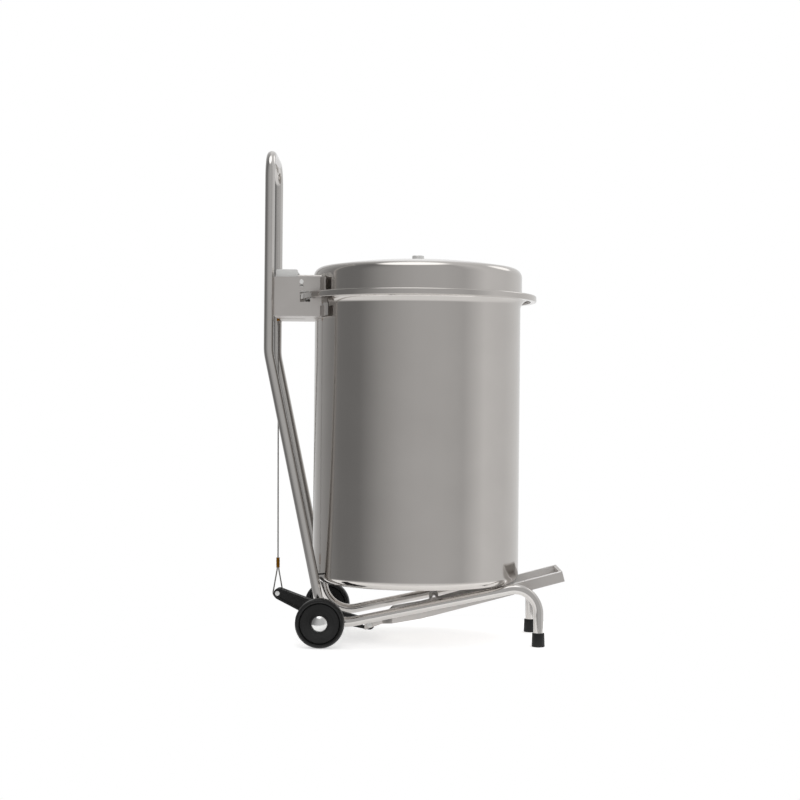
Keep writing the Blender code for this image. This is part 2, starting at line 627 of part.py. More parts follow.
def make_lid_lever():
    """The strap on the lid's back wall with two cheeks, a raised web and the cable's ears."""
    strap_r = LID_R + TOUCH
    half_angle = math.asin((LEVER_HALF_WIDTH - LEVER_T / 2) / (strap_r + LEVER_T / 2))
    turn = 2 * math.pi / ROUND_SEGMENTS
    facets = math.floor(half_angle / turn)
    angles = [math.pi + turn * i for i in range(-facets, facets + 1)]
    edge = angles[0] - half_angle + facets * turn
    angles = [edge] + angles + [2 * math.pi - edge]

    def on_strap(angle, radius):
        return (radius * math.cos(angle), radius * math.sin(angle))

    outer = [on_strap(a, strap_r + LEVER_T) for a in angles]
    inner = [on_strap(a, strap_r) for a in reversed(angles)]
    strap_top = LEVER_LOW_TOP - SLIP
    lever = slab("lid_lever", outer + inner, strap_top - STRAP_HEIGHT, strap_top, "XY")
    front = -math.sqrt((strap_r + LEVER_T / 2) ** 2 - (LEVER_HALF_WIDTH - LEVER_T) ** 2)
    boss_front = HINGE_X + HINGE_BOSS_R
    outline = [(LEVER_REAR, LEVER_REAR_BOTTOM), (HINGE_X, HINGE_Z - HINGE_BOSS_R),
               (boss_front, HINGE_Z - HINGE_BOSS_R), (front, strap_top - STRAP_HEIGHT + SLIP),
               (front, LEVER_LOW_TOP), (LEVER_STEP, LEVER_LOW_TOP), (LEVER_STEP, LEVER_TOP),
               (LEVER_REAR, LEVER_TOP)]
    soft = LEVER_CORNER_R
    cheek = rounded(outline, (soft, 0, 0, 0, 0, soft / 2, soft, soft))
    for sign in (1, -1):
        low, high = sorted((sign * LEVER_HALF_WIDTH, sign * (LEVER_HALF_WIDTH - LEVER_T)))
        join(lever, slab("cheek", cheek, low, high))
    web_side = LEVER_HALF_WIDTH - LEVER_T / 2
    join(lever, block("web", (LEVER_REAR + soft, -web_side, LEVER_TOP - LEVER_T),
                      (LEVER_STEP - soft, web_side, LEVER_TOP - TOUCH)))
    ear_root = (LEVER_STEP - 3 * soft, LEVER_TOP - ANCHOR_EAR_R - SLIP)
    ear = link_outline(ear_root, ANCHOR_EAR_R - SLIP, (ANCHOR_X, ANCHOR_Z), ANCHOR_EAR_R)
    for sign in (1, -1):
        low, high = sorted((sign * ANCHOR_EAR_GAP / 2, sign * (ANCHOR_EAR_GAP / 2 + LEVER_T)))
        join(lever, slab("ear", ear, low, high))
    hole = rod("hole", HINGE_X, HINGE_Z, -1, 1, HINGE_PIN_D + 2 * TOUCH)
    anchor_hole = rod("hole", ANCHOR_X, ANCHOR_Z, -ANCHOR_BACK, ANCHOR_BACK, ANCHOR_PIN_D + 2 * TOUCH)
    loop_reach = ANCHOR_PIN_D / 2 + CABLE_D + 2 * UPPER_LOOP_PLAY
    notch_half = ANCHOR_EAR_GAP / 2 - TOUCH
    notch = block("notch", (ANCHOR_X - loop_reach, -notch_half, LEVER_REAR_BOTTOM),
                  (ANCHOR_X + loop_reach, notch_half, LEVER_TOP + loop_reach))
    cut(lever, notch, hole, anchor_hole)
    paint(lever, BRIGHT)
    reach = ANCHOR_EAR_GAP / 2 + LEVER_T + PIN_HEAD_T
    anchor = rod("cable_anchor_pin", ANCHOR_X, ANCHOR_Z, -reach, reach, ANCHOR_PIN_D)
    paint(anchor, BRIGHT)
    return [lever, anchor]


def make_housing():
    """Folded sheet between the handle tubes that carries the ring and the lid's hinge."""
    rear = HANDLE_X + TUBE_R + TOUCH
    outer = TUBE_Y + HOUSING_T / 2
    inner = TUBE_Y - HOUSING_T / 2
    bend = HOUSING_BEND_R
    housing = block("hinge_housing", (rear, -inner - HOUSING_T / 2, HOUSING_BOTTOM),
                    (HOUSING_FRONT, inner + HOUSING_T / 2, HOUSING_BOTTOM + HOUSING_T))
    bend_z = HOUSING_TOP - bend
    outline = [(rear, HOUSING_BOTTOM), (HOUSING_FRONT, HOUSING_BOTTOM), (HOUSING_FRONT, bend_z),
               (rear, bend_z)]
    along = Vector((-HOUSING_FRONT, TUBE_Y)).normalized()
    for sign in (1, -1):
        low, high = sorted((sign * outer, sign * inner))
        join(housing, slab("side", outline, low, high))
        centre = (outer - bend, bend_z)
        edge = outer - TOP_FLANGE_WIDTH
        section = ([(outer, bend_z - bend)] + arc(centre, bend, 0, math.pi / 2)
                   + [(edge, HOUSING_TOP), (edge, HOUSING_TOP - HOUSING_T)]
                   + arc(centre, bend - HOUSING_T, math.pi / 2, 0) + [(inner, bend_z - bend)])
        section = [(sign * y, z) for y, z in section]
        join(housing, slab("top_bend", section, TOP_FLANGE_REAR, HOUSING_FRONT, "YZ"))
        start = Vector((HOUSING_FRONT - HOUSING_T / 2, inner))
        ahead = Vector((along.y, along.x)) * SIDE_FLANGE
        thick = Vector((-along.x, along.y)) * HOUSING_T
        strip = [start, start + ahead, start + ahead + thick, start + thick]
        strip = [(p.x, sign * p.y) for p in strip]
        join(housing, slab("low_flange", strip, HOUSING_BOTTOM, LOWER_FLANGE_TOP, "XY"),
             slab("high_flange", strip, UPPER_FLANGE_BOTTOM, bend_z, "XY"))
    flare_centre = (BUCKET_R + FLARE_R, WALL_TOP)
    clear_r = BUCKET_R + SLIP
    ledge_r = RING_R - RING_WALL - RING_LEDGE - SLIP
    ledge_z = RING_BOTTOM - SLIP
    ledge_angle = math.acos((ledge_r - flare_centre[0]) / (FLARE_R - SLIP))
    clearance = ([(0, HOUSING_BOTTOM - bend), (clear_r, HOUSING_BOTTOM - bend)]
                 + arc(flare_centre, FLARE_R - SLIP, math.pi, ledge_angle)
                 + [(ledge_r, ledge_z), (RING_R + SLIP, ledge_z), (RING_R + SLIP, RING_TOP + SLIP),
                    (0, RING_TOP + SLIP)])
    cut(housing, revolve("bucket_clearance", clearance))
    ring_slot = block("ring_slot", (RING_SLOT_REAR, -1, RING_SLOT_BOTTOM),
                      (RING_SLOT_REAR + RING_SLOT_LENGTH, 1, RING_TOP + SLIP))
    slot_z = HINGE_Z - SPRING_SLOT_DROP
    slot_half = SPRING_SLOT_LENGTH / 2
    spring_slot = block("spring_slot", (HINGE_X - slot_half, -1, slot_z - SPRING_SLOT_HEIGHT / 2),
                        (HINGE_X + slot_half, 1, slot_z + SPRING_SLOT_HEIGHT / 2))
    cable_slot = block("cable_slot", (rear - bend, -CABLE_SLOT_WIDTH / 2, HOUSING_BOTTOM - bend),
                       (CABLE_SLOT_FRONT, CABLE_SLOT_WIDTH / 2, HOUSING_BOTTOM + 2 * bend))
    hole = rod("hole", HINGE_X, HINGE_Z, -1, 1, HINGE_PIN_D + 2 * TOUCH)
    cut(housing, ring_slot, spring_slot, cable_slot, hole)
    paint(housing, STEEL)
    pin = headed_pin("hinge_pin", HINGE_X, HINGE_Z, outer + TOUCH, HINGE_PIN_D, HINGE_HEAD_D, HINGE_HEAD_T)
    paint(pin, BRIGHT)


def make_rocker():
    """Moulded lever on the axle: fork for the cable behind, slot for the pedal in front."""
    axle, tip, link = (AXLE_X, AXLE_Z), (ROCKER_PIN_X, ROCKER_PIN_Z), (LINK_X, LINK_Z)
    half = ROCKER_WIDTH / 2
    end_half = ROCKER_END_WIDTH / 2
    to_tip = (Vector(tip) - Vector(axle)).normalized()
    arm_end = Vector(tip) - to_tip * ROCKER_TIP_IN
    rear_arm = link_outline(axle, ROCKER_HUB_R, tuple(arm_end), ROCKER_TIP_R)
    front_arm = link_outline(axle, ROCKER_ARM_R, link, ROCKER_END_R)
    rocker = slab("foot_lever", rear_arm, -half, half)
    join(rocker, slab("front_arm", front_arm, -end_half, end_half))
    bore_r = AXLE_D / 2 + TOUCH
    to_link = (Vector(link) - Vector(axle)).normalized()
    fork_root = Vector(axle) + to_tip * (ROCKER_HUB_R + ROCKER_RIM)
    loop_room = BUSH_D / 2 + CABLE_D + SLIP
    fork_gap = slot_outline(tuple(fork_root + to_tip * loop_room),
                            tuple(Vector(tip) + to_tip * loop_room), loop_room)
    cut(rocker, slab("fork_gap", fork_gap, -ROCKER_FORK_GAP / 2, ROCKER_FORK_GAP / 2))
    hub_ring = bore_r + ROCKER_RIM
    near_hub = Vector(axle) + to_tip * (hub_ring + ROCKER_HUB_R - ROCKER_RIM)
    near_tip = Vector(tip) - to_tip * (ROCKER_TIP_R + ROCKER_RIM)
    rear_pocket = link_outline(tuple(near_hub), ROCKER_HUB_R - 2 * ROCKER_RIM, tuple(near_tip),
                               ROCKER_TIP_R - ROCKER_RIM)
    slot_r = LINK_PIN_D / 2 + LINK_SLOT_PLAY
    slot_in = Vector(link) - to_link * LINK_SLOT_IN
    slot_out = Vector(link) + to_link * LINK_SLOT_OUT
    link_slot = slot_outline(tuple(slot_in), tuple(slot_out), slot_r)
    pocket_r = ROCKER_END_R - ROCKER_RIM
    front_start = Vector(axle) + to_link * (ROCKER_HUB_R + ROCKER_RIM + pocket_r)
    front_stop = slot_in - to_link * (slot_r + ROCKER_RIM + pocket_r)
    front_pocket = slot_outline(tuple(front_start), tuple(front_stop), pocket_r)
    for sign in (1, -1):
        low, high = sorted((sign * (half - POCKET_DEPTH / 2), sign * (half + SLIP)))
        cut(rocker, slab("rear_pocket", rear_pocket, low, high))
        low, high = sorted((sign * (end_half - POCKET_DEPTH), sign * (end_half + SLIP)))
        cut(rocker, slab("front_pocket", front_pocket, low, high))
    cut(rocker, rod("bore", axle[0], axle[1], -1, 1, 2 * bore_r, SMALL_SEGMENTS),
        rod("pin_hole", tip[0], tip[1], -1, 1, ROCKER_PIN_D + 2 * TOUCH),
        slab("link_slot", link_slot, -1, 1))
    paint(rocker, BLACK_PLASTIC)
    head = half + TOUCH
    pin = headed_pin("lever_pin", tip[0], tip[1], head, ROCKER_PIN_D, ROCKER_PIN_HEAD_D, PIN_HEAD_T)
    paint(pin, BRIGHT)
    gap = ROCKER_FORK_GAP / 2 - TOUCH
    bush = collar("cable_bush", tip[0], tip[1], -gap, gap, ROCKER_PIN_D / 2 + TOUCH, BUSH_D / 2)
    paint(bush, BLACK_PLASTIC)
    hang("lever_axis", (AXLE_X, 0, AXLE_Z), [rocker, pin, bush])
    for label, sign in SIDES:
        low, high = sorted((sign * head, sign * (head + COLLAR_WIDTH)))
        paint(collar("lever_collar_" + label, AXLE_X, AXLE_Z, low, high, bore_r, COLLAR_D / 2), STEEL)


def make_cable():
    """Steel cable from the rocker's bush to the anchor pin, with a crimped loop at each end."""
    foot = Vector((ROCKER_PIN_X, 0, ROCKER_PIN_Z))
    head = Vector((ANCHOR_X, 0, ANCHOR_Z))
    up = (head - foot).normalized()
    side = Vector((up.z, 0, -up.x))
    radius = CABLE_D / 2
    strand = radius + TOUCH / 2

    def at_height(z):
        return foot + up * ((z - foot.z) / up.z)

    lower = at_height(LOWER_FERRULE_Z)
    upper = at_height(UPPER_FERRULE_Z)
    crimp = up * FERRULE_LENGTH
    gap = up * TOUCH
    rope = sweep("cable", [lower + crimp + gap, upper - gap], radius, CABLE_SIDES)
    paint(rope, STEEL)
    pieces = [rope]
    for label, base in (("lower", lower), ("upper", upper)):
        ferrule = sweep("ferrule_" + label, [base, base + crimp], FERRULE_D / 2)
        paint(ferrule, COPPER)
        pieces.append(ferrule)
    lower_r = BUSH_D / 2 + TOUCH + radius
    upper_r = ANCHOR_PIN_D / 2 + UPPER_LOOP_PLAY + radius
    for label, centre, start, out, loop_r in (("lower", foot, lower - gap, -up, lower_r),
                                              ("upper", head, upper + crimp + gap, up, upper_r)):
        reach = (centre - start).length
        lead = start + out * CABLE_D
        slant = math.asin((loop_r - strand) / (reach - CABLE_D))
        sweep_half = math.pi / 2 + slant
        bow = []
        for i in range(LOOP_STEPS + 1):
            angle = sweep_half * (2 * i / LOOP_STEPS - 1)
            bow.append(centre + loop_r * (math.cos(angle) * out + math.sin(angle) * side))
        apart = side * strand
        path = [start - apart, lead - apart] + bow + [lead + apart, start + apart]
        loop = sweep("cable_loop_" + label, path, radius, CABLE_SIDES)
        paint(loop, STEEL)
        pieces.append(loop)
    hang("cable_axis", tuple(foot), pieces)


def tail_line_z(x):
    return PEDAL_BEND_Z + (x - PEDAL_BEND_X) * math.tan(TAIL_SLOPE)


def pedal_floor_z(x):
    """Underside of the pedal: tray in front of the bend, tail behind it, steeper at the fork."""
    if x > PEDAL_BEND_X:
        return PEDAL_BEND_Z + (x - PEDAL_BEND_X) * math.tan(PEDAL_SLOPE)
    if x >= TAIL_WIDE_X:
        return tail_line_z(x)
    end_z = LINK_Z - LINK_FLOOR
    return end_z + (x - LINK_X) * (tail_line_z(TAIL_WIDE_X) - end_z) / (TAIL_WIDE_X - LINK_X)


def make_pedal():
    """Folded tray that tapers to a fork, hung between the base tubes on a rod."""
    fork = ROCKER_END_WIDTH / 2 + SLIP + PEDAL_T
    stations = [(TAIL_END_X, fork), (TAIL_NARROW_X, fork), (TAIL_WIDE_X, PEDAL_HALF_WIDTH),
                (PEDAL_BEND_X, PEDAL_HALF_WIDTH), (PEDAL_TIP_X, PEDAL_HALF_WIDTH)]
    lean = math.tan(PEDAL_SLOPE)
    bm = bmesh.new()
    rings = []
    for x, width in stations:
        floor = pedal_floor_z(x)
        wall = PEDAL_WALL if x > TAIL_NARROW_X else 2 * LINK_EAR_R
        tilt = lean if x == PEDAL_TIP_X else 0.0
        section = [(-width, wall), (-width, 0), (width, 0), (width, wall), (width - PEDAL_T, wall),
                   (width - PEDAL_T, PEDAL_T), (-width + PEDAL_T, PEDAL_T), (-width + PEDAL_T, wall)]
        rings.append([bm.verts.new((x - tilt * h, y, floor + h)) for y, h in section])
    for here, after in zip(rings, rings[1:]):
        for i in range(8):
            j = (i + 1) % 8
            bm.faces.new((here[i], here[j], after[j], after[i]))
    bm.faces.new(rings[0])
    bm.faces.new(rings[-1])
    pedal = finish_mesh(bm, "pedal")
    tip_z = pedal_floor_z(PEDAL_TIP_X)
    back = PEDAL_T / math.cos(PEDAL_SLOPE)
    top_x = PEDAL_TIP_X - lean * PEDAL_WALL
    top_z = tip_z + PEDAL_WALL
    lip_x = top_x - PEDAL_LIP
    lip_z = top_z - PEDAL_LIP * lean
    end_wall = [(PEDAL_TIP_X - back, tip_z + TOUCH), (PEDAL_TIP_X - TOUCH, tip_z + TOUCH),
                (top_x - TOUCH, top_z), (lip_x, lip_z), (lip_x, lip_z - PEDAL_T),
                (top_x - back, top_z - back * lean - PEDAL_T)]
    join(pedal, slab("end_wall", end_wall, -PEDAL_HALF_WIDTH + TOUCH, PEDAL_HALF_WIDTH - TOUCH))
    ear_foot = (PIVOT_X, pedal_floor_z(PIVOT_X) + PEDAL_WALL / 2)
    ear = link_outline(ear_foot, PIVOT_EAR_R - SLIP, (PIVOT_X, PIVOT_Z), PIVOT_EAR_R)
    for sign in (1, -1):
        low, high = sorted((sign * PEDAL_HALF_WIDTH, sign * (PEDAL_HALF_WIDTH - PEDAL_T)))
        join(pedal, slab("ear", ear, low, high))
    gap = ROCKER_END_WIDTH / 2 + SLIP
    mouth = block("mouth", (TAIL_END_X - SLIP, -gap, -1), (TAIL_NARROW_X, gap, 1))
    rod_hole = rod("rod_hole", PIVOT_X, PIVOT_Z, -1, 1, PIVOT_ROD_D + 2 * TOUCH)
    link_hole = rod("link_hole", LINK_X, LINK_Z, -1, 1, LINK_PIN_D + 2 * TOUCH)
    cut(pedal, mouth, rod_hole, link_hole)
    paint(pedal, STEEL)
    link_pin = headed_pin("link_pin", LINK_X, LINK_Z, fork + TOUCH, LINK_PIN_D, LINK_HEAD_D, PIN_HEAD_T)
    paint(link_pin, BRIGHT)
    hang("pedal_axis", (PIVOT_X, 0, PIVOT_Z), [pedal, link_pin])
    rod_end = TUBE_Y - TUBE_R - TOUCH
    paint(rod("pedal_rod", PIVOT_X, PIVOT_Z, -rod_end, rod_end, PIVOT_ROD_D), STEEL)


def main():
    clear_scene()
    make_frame()
    make_feet()
    make_buffers()
    make_wheels()
    make_bucket()
    hang("lid_axis", (HINGE_X, 0, HINGE_Z), make_lid() + make_lid_lever())
    make_housing()
    make_rocker()
    make_cable()
    make_pedal()


main()
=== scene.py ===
import json
import math

import bmesh
import bpy
from mathutils import Matrix, Vector
from mathutils.bvhtree import BVHTree


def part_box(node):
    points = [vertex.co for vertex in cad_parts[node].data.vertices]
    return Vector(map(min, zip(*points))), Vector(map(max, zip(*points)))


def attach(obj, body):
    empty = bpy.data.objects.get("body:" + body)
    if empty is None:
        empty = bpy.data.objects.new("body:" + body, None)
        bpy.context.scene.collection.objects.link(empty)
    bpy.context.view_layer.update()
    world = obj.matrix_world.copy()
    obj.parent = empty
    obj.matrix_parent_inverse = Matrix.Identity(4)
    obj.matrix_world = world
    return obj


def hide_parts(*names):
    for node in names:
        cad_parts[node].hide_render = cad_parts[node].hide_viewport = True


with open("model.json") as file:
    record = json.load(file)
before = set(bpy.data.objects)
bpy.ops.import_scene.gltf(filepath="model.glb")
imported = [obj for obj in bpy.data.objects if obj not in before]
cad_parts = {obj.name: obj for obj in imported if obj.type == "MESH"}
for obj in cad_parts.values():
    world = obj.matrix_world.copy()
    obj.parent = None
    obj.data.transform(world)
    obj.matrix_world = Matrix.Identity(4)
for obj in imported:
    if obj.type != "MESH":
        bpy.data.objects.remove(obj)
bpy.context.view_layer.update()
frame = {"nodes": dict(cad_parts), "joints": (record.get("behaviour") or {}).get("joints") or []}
jointPlace = {joint["name"]: Vector(joint["pos_m"]) for joint in frame["joints"]}
print("frame loaded with", len(frame["nodes"]), "nodes")


# sRGB hex text to linear colour
def linearColor(hexText):
    values = [int(hexText[i:i + 2], 16) / 255 for i in (1, 3, 5)]
    return [v / 12.92 if v <= 0.04045 else ((v + 0.055) / 1.055) ** 2.4 for v in values] + [1.0]


# adds one node; settings are attributes or inputs, links go from a socket to an input
def addNode(tree, kind, settings=None, links=None):
    node = tree.nodes.new(kind)
    for key, value in (settings or {}).items():
        if isinstance(key, int) or key in node.inputs:
            node.inputs[key].default_value = value
        else:
            setattr(node, key, value)
    for key, socket in (links or {}).items():
        tree.links.new(socket, node.inputs[key])
    return node


def startMaterial(name):
    material = bpy.data.materials.new(name)
    material.use_nodes = True
    return material, material.node_tree, material.node_tree.nodes["Principled BSDF"]


noiseLow, noiseHigh = 0.3, 0.7  # most of a noise pattern lies between these
polishDepth, grainDepth = 0.0001, 0.0002  # metres


# A metal's polish: lines of the buffing wheel in the roughness, soft smudges in the colour.
# lineMm is the size of the pattern along X, Y and Z in millimetres. Faces marked with a named attribute
# change to the look that "marked" gives for it.
def metalFinish(name, look):
    material, tree, shader = startMaterial(name)
    metallic = look.get("metallic", 1.0)
    shader.inputs["Metallic"].default_value = metallic
    place = addNode(tree, "ShaderNodeTexCoord").outputs["Object"]
    scale = [1000 / mm for mm in look["lineMm"]]
    stretched = addNode(tree, "ShaderNodeMapping", {"Scale": scale}, {"Vector": place})
    lines = addNode(tree, "ShaderNodeTexNoise", {"Scale": 1.0, "Detail": 3.0, "Roughness": 0.6},
                    {"Vector": stretched.outputs[0]})
    smudge = addNode(tree, "ShaderNodeTexNoise", {"Scale": 1000 / look["smudgeMm"], "Detail": 4.0},
                     {"Vector": place})
    rough, spread = look["roughness"], look["roughSpread"]
    roughness = addNode(tree, "ShaderNodeMapRange", {1: noiseLow, 2: noiseHigh, 3: rough - spread,
                                                     4: rough + spread}, {"Value": lines.outputs["Fac"]})
    tone = addNode(tree, "ShaderNodeMix", {"data_type": "RGBA", 6: linearColor(look["dark"]),
                                           7: linearColor(look["light"])}, {0: smudge.outputs["Fac"]})
    bump = addNode(tree, "ShaderNodeBump", {"Strength": look["bump"], "Distance": polishDepth},
                   {"Height": lines.outputs["Fac"]})
    color, rough, metal = tone.outputs[2], roughness.outputs[0], None
    for label, other in look.get("marked", {}).items():
        mark = addNode(tree, "ShaderNodeAttribute", {"attribute_name": label}).outputs["Fac"]
        share = addNode(tree, "ShaderNodeMapRange", {1: other["from"], 2: other["to"], 3: 0.0, 4: 1.0},
                        {"Value": mark}).outputs[0]
        color = addNode(tree, "ShaderNodeMix", {"data_type": "RGBA", 7: linearColor(other["color"])},
                        {0: share, 6: color}).outputs[2]
        rough = addNode(tree, "ShaderNodeMix", {"data_type": "FLOAT", 3: other["roughness"]},
                        {0: share, 2: rough}).outputs[0]
        metal = addNode(tree, "ShaderNodeMix", {"data_type": "FLOAT", 2: metallic, 3: other["metallic"]},
                        {0: share, 2: metal} if metal else {0: share}).outputs[0]
        tree.links.new(metal, shader.inputs["Metallic"])
    tree.links.new(color, shader.inputs["Base Color"])
    tree.links.new(rough, shader.inputs["Roughness"])
    tree.links.new(bump.outputs[0], shader.inputs["Normal"])
    return material


# A moulded black part: fine grain from the mould in the bump, handling marks in the roughness.
def mouldedFinish(name, look):
    material, tree, shader = startMaterial(name)
    shader.inputs["IOR"].default_value = look["ior"]
    place = addNode(tree, "ShaderNodeTexCoord").outputs["Object"]
    grain = addNode(tree, "ShaderNodeTexNoise", {"Scale": 1000 / look["grainMm"], "Detail": 2.0},
                    {"Vector": place})
    marks = addNode(tree, "ShaderNodeTexNoise", {"Scale": 1000 / look["marksMm"], "Detail": 5.0},
                    {"Vector": place})
    rough, spread = look["roughness"], look["roughSpread"]
    roughness = addNode(tree, "ShaderNodeMapRange", {1: noiseLow, 2: noiseHigh, 3: rough - spread,
                                                     4: rough + spread}, {"Value": marks.outputs["Fac"]})
    tone = addNode(tree, "ShaderNodeMix", {"data_type": "RGBA", 6: linearColor(look["dark"]),
                                           7: linearColor(look["light"])}, {0: marks.outputs["Fac"]})
    bump = addNode(tree, "ShaderNodeBump", {"Strength": look["bump"], "Distance": grainDepth},
                   {"Height": grain.outputs["Fac"]})
    tree.links.new(tone.outputs[2], shader.inputs["Base Color"])
    tree.links.new(roughness.outputs[0], shader.inputs["Roughness"])
    tree.links.new(bump.outputs[0], shader.inputs["Normal"])
    return material


# polished deep-drawn stainless: a near mirror with faint rings from buffing round the axis;
# the real lines are about 0.1 mm, drawn at 4 mm so that they show;
# the inside of bucket and lid is left matt, as drawn
polishedStainless = metalFinish("polishedStainless", {
    "dark": "#c6c2be", "light": "#cfcbc7", "roughness": 0.13, "roughSpread": 0.025,
    "lineMm": (400, 400, 4), "smudgeMm": 90, "bump": 0.02,
    "marked": {"mattInsideAndPaintedLight": {"from": 0.6, "to": 0.75, "color": "#cfccc9", "roughness": 0.45, "metallic": 0.35}}})
# polished stainless tube: the same metal, buffed along its length to a slightly sharper mirror;
# its lines are drawn at 4 mm too
polishedTube = metalFinish("polishedTube", {
    "dark": "#c8c5c2", "light": "#d1cecb", "roughness": 0.11, "roughSpread": 0.01,
    "lineMm": (150, 4, 150), "smudgeMm": 90, "bump": 0.005})
# folded stainless sheet: satin, because its rolled surface isn't buffed after folding; faces that the part
# itself hides from the room are painted pale and matt, as painted light in its hollows, and the edges are
# rubbed bright and painted brighter than the metal, as painted highlight lines; the rolling grain is a
# fraction of a millimetre, drawn at 3 to 6 mm so that it shows
satinSheet = metalFinish("satinSheet", {
    "dark": "#c7c3bf", "light": "#d0ccc9", "roughness": 0.44, "roughSpread": 0.03,
    "lineMm": (60, 6, 3), "smudgeMm": 40, "bump": 0.02,
    "marked": {"mattInsideAndPaintedLight": {"from": 0, "to": 0.38, "color": "#f8f6f4", "roughness": 0.44, "metallic": 0.2},
               "edge": {"from": 0, "to": 1, "color": "#f7f5f3", "roughness": 0.16, "metallic": 1.0}}})
# rims of the pedal's walls: rounded and rubbed by shoes, and painted near white as a painted highlight line
# along each rim; the fine scratches are drawn as 3 mm patches so that they show
rimPaintedHighlight = metalFinish("rimPaintedHighlight", {
    "dark": "#f4f2f0", "light": "#fbfaf9", "roughness": 0.30, "roughSpread": 0.04,
    "lineMm": (3, 3, 3), "smudgeMm": 20, "bump": 0.02, "metallic": 0.4})
# zinc-plated steel: paler and duller than stainless, with a soft cloudiness; the passivated skin
# scatters half of the light, so it looks almost like pale paint
zincPlated = metalFinish("zincPlated", {
    "dark": "#e6e6e4", "light": "#eeeeec", "roughness": 0.46, "roughSpread": 0.05,
    "lineMm": (4, 4, 4), "smudgeMm": 12, "bump": 0.05, "metallic": 0.5})
# chrome-plated cap: bright mirror
chromePlated = metalFinish("chromePlated", {
    "dark": "#dcdcdb", "light": "#e6e6e5", "roughness": 0.22, "roughSpread": 0.02,
    "lineMm": (12, 12, 12), "smudgeMm": 15, "bump": 0.01})
# pressed copper sleeve: dulled brown with brighter patches left by the crimping tool
pressedCopper = metalFinish("pressedCopper", {
    "dark": "#764a0e", "light": "#96651c", "roughness": 0.40, "roughSpread": 0.06,
    "lineMm": (2, 2, 2), "smudgeMm": 4, "bump": 0.1})
# galvanised wire rope: dull grey zinc, with a patchy sheen along the wires
galvanisedWire = metalFinish("galvanisedWire", {
    "dark": "#918f8c", "light": "#a5a29f", "roughness": 0.34, "roughSpread": 0.06,
    "lineMm": (1, 1, 3), "smudgeMm": 6, "bump": 0.05})
# moulded nylon of the rocker, bush and wheel discs: black, half-matt, with the grain of the mould,
# drawn at 0.8 mm so that it shows
mouldedNylon = mouldedFinish("mouldedNylon", {
    "dark": "#090909", "light": "#0e0e0e", "ior": 1.44, "roughness": 0.58, "roughSpread": 0.05,
    "grainMm": 0.8, "marksMm": 14, "bump": 0.12})
# black rubber of tyres, feet and buffers: matt, a little paler where it is rubbed; grain drawn at 1.2 mm
blackRubber = mouldedFinish("blackRubber", {
    "dark": "#090909", "light": "#101010", "ior": 1.43, "roughness": 0.46, "roughSpread": 0.05,
    "grainMm": 1.2, "marksMm": 10, "bump": 0.18})
print("materials ready")


# corners are (radius, height, rounding); the result is the profile, with so many steps in each rounding
def roundedProfile(corners, steps=4):
    points = []
    for i, corner in enumerate(corners):
        here = Vector(corner[:2])
        rounding = corner[2] if len(corner) > 2 else 0
        if rounding == 0:
            points.append(tuple(here))
            continue
        into = (Vector(corners[i - 1][:2]) - here).normalized()
        out = (Vector(corners[(i + 1) % len(corners)][:2]) - here).normalized()
        half = into.angle(out) / 2
        centre = here + (into + out).normalized() * (rounding / math.sin(half))
        start = here + into * (rounding / math.tan(half)) - centre
        end = here + out * (rounding / math.tan(half)) - centre
        turn = start.angle_signed(end)
        points += [tuple(centre + Matrix.Rotation(-turn * k / steps, 2) @ start) for k in range(steps + 1)]
    return points


smoothUnder = math.radians(32)  # wider bends between faces show as edges


def keepMesh(name, mesh, material):
    mesh.materials.clear()
    mesh.materials.append(material)
    mesh.shade_smooth()
    mesh.set_sharp_from_angle(angle=smoothUnder)
    piece = bpy.data.objects.new(name, mesh)
    bpy.context.scene.collection.objects.link(piece)
    return piece


# two values per face: how far the piece itself hides the face from the room, times share, which makes hidden
# faces matt and on sheet parts paints them pale as painted light, and whether the face is a broken edge,
# which the sheet finish paints bright as a highlight line; a ray that hits nearer than "near" is in a slot
# and doesn't count
hiddenRays = {"tilts": (0, 35, 65), "turns": 8, "near": 0.012, "reach": 0.60, "lift": 1e-4}
hiddenFan = []
for tilt in hiddenRays["tilts"]:
    for k in range(hiddenRays["turns"]):
        lean, turn = math.radians(tilt), 2 * math.pi * k / hiddenRays["turns"]
        hiddenFan.append(Vector((math.sin(lean) * math.cos(turn), math.sin(lean) * math.sin(turn),
                               math.cos(lean))))


def markHiddenAndEdges(mesh, edgeWidth=0.0, share=1.0):
    bm = bmesh.new()
    bm.from_mesh(mesh)
    hull = BVHTree.FromBMesh(bm)
    hiddenShares, edges = [], []
    for face in bm.faces:
        turnTo = face.normal.to_track_quat("Z", "Y")
        start = face.calc_center_median() + face.normal * hiddenRays["lift"]
        gaps = [hull.ray_cast(start, turnTo @ ray, hiddenRays["reach"])[3] for ray in hiddenFan]
        hidden = sum(gap is not None and gap > hiddenRays["near"] for gap in gaps)
        hiddenShares.append(share * hidden / len(hiddenFan))
        # a face this narrow is a broken edge, which the sheet finish paints brighter than the metal, as a
        # painted highlight line on top of the rubbing
        edges.append(float(face.calc_area() < edgeWidth * max(e.calc_length() for e in face.edges)))
    bm.free()
    mesh.attributes.new("mattInsideAndPaintedLight", "FLOAT", "FACE").data.foreach_set("value", hiddenShares)
    mesh.attributes.new("edge", "FLOAT", "FACE").data.foreach_set("value", edges)


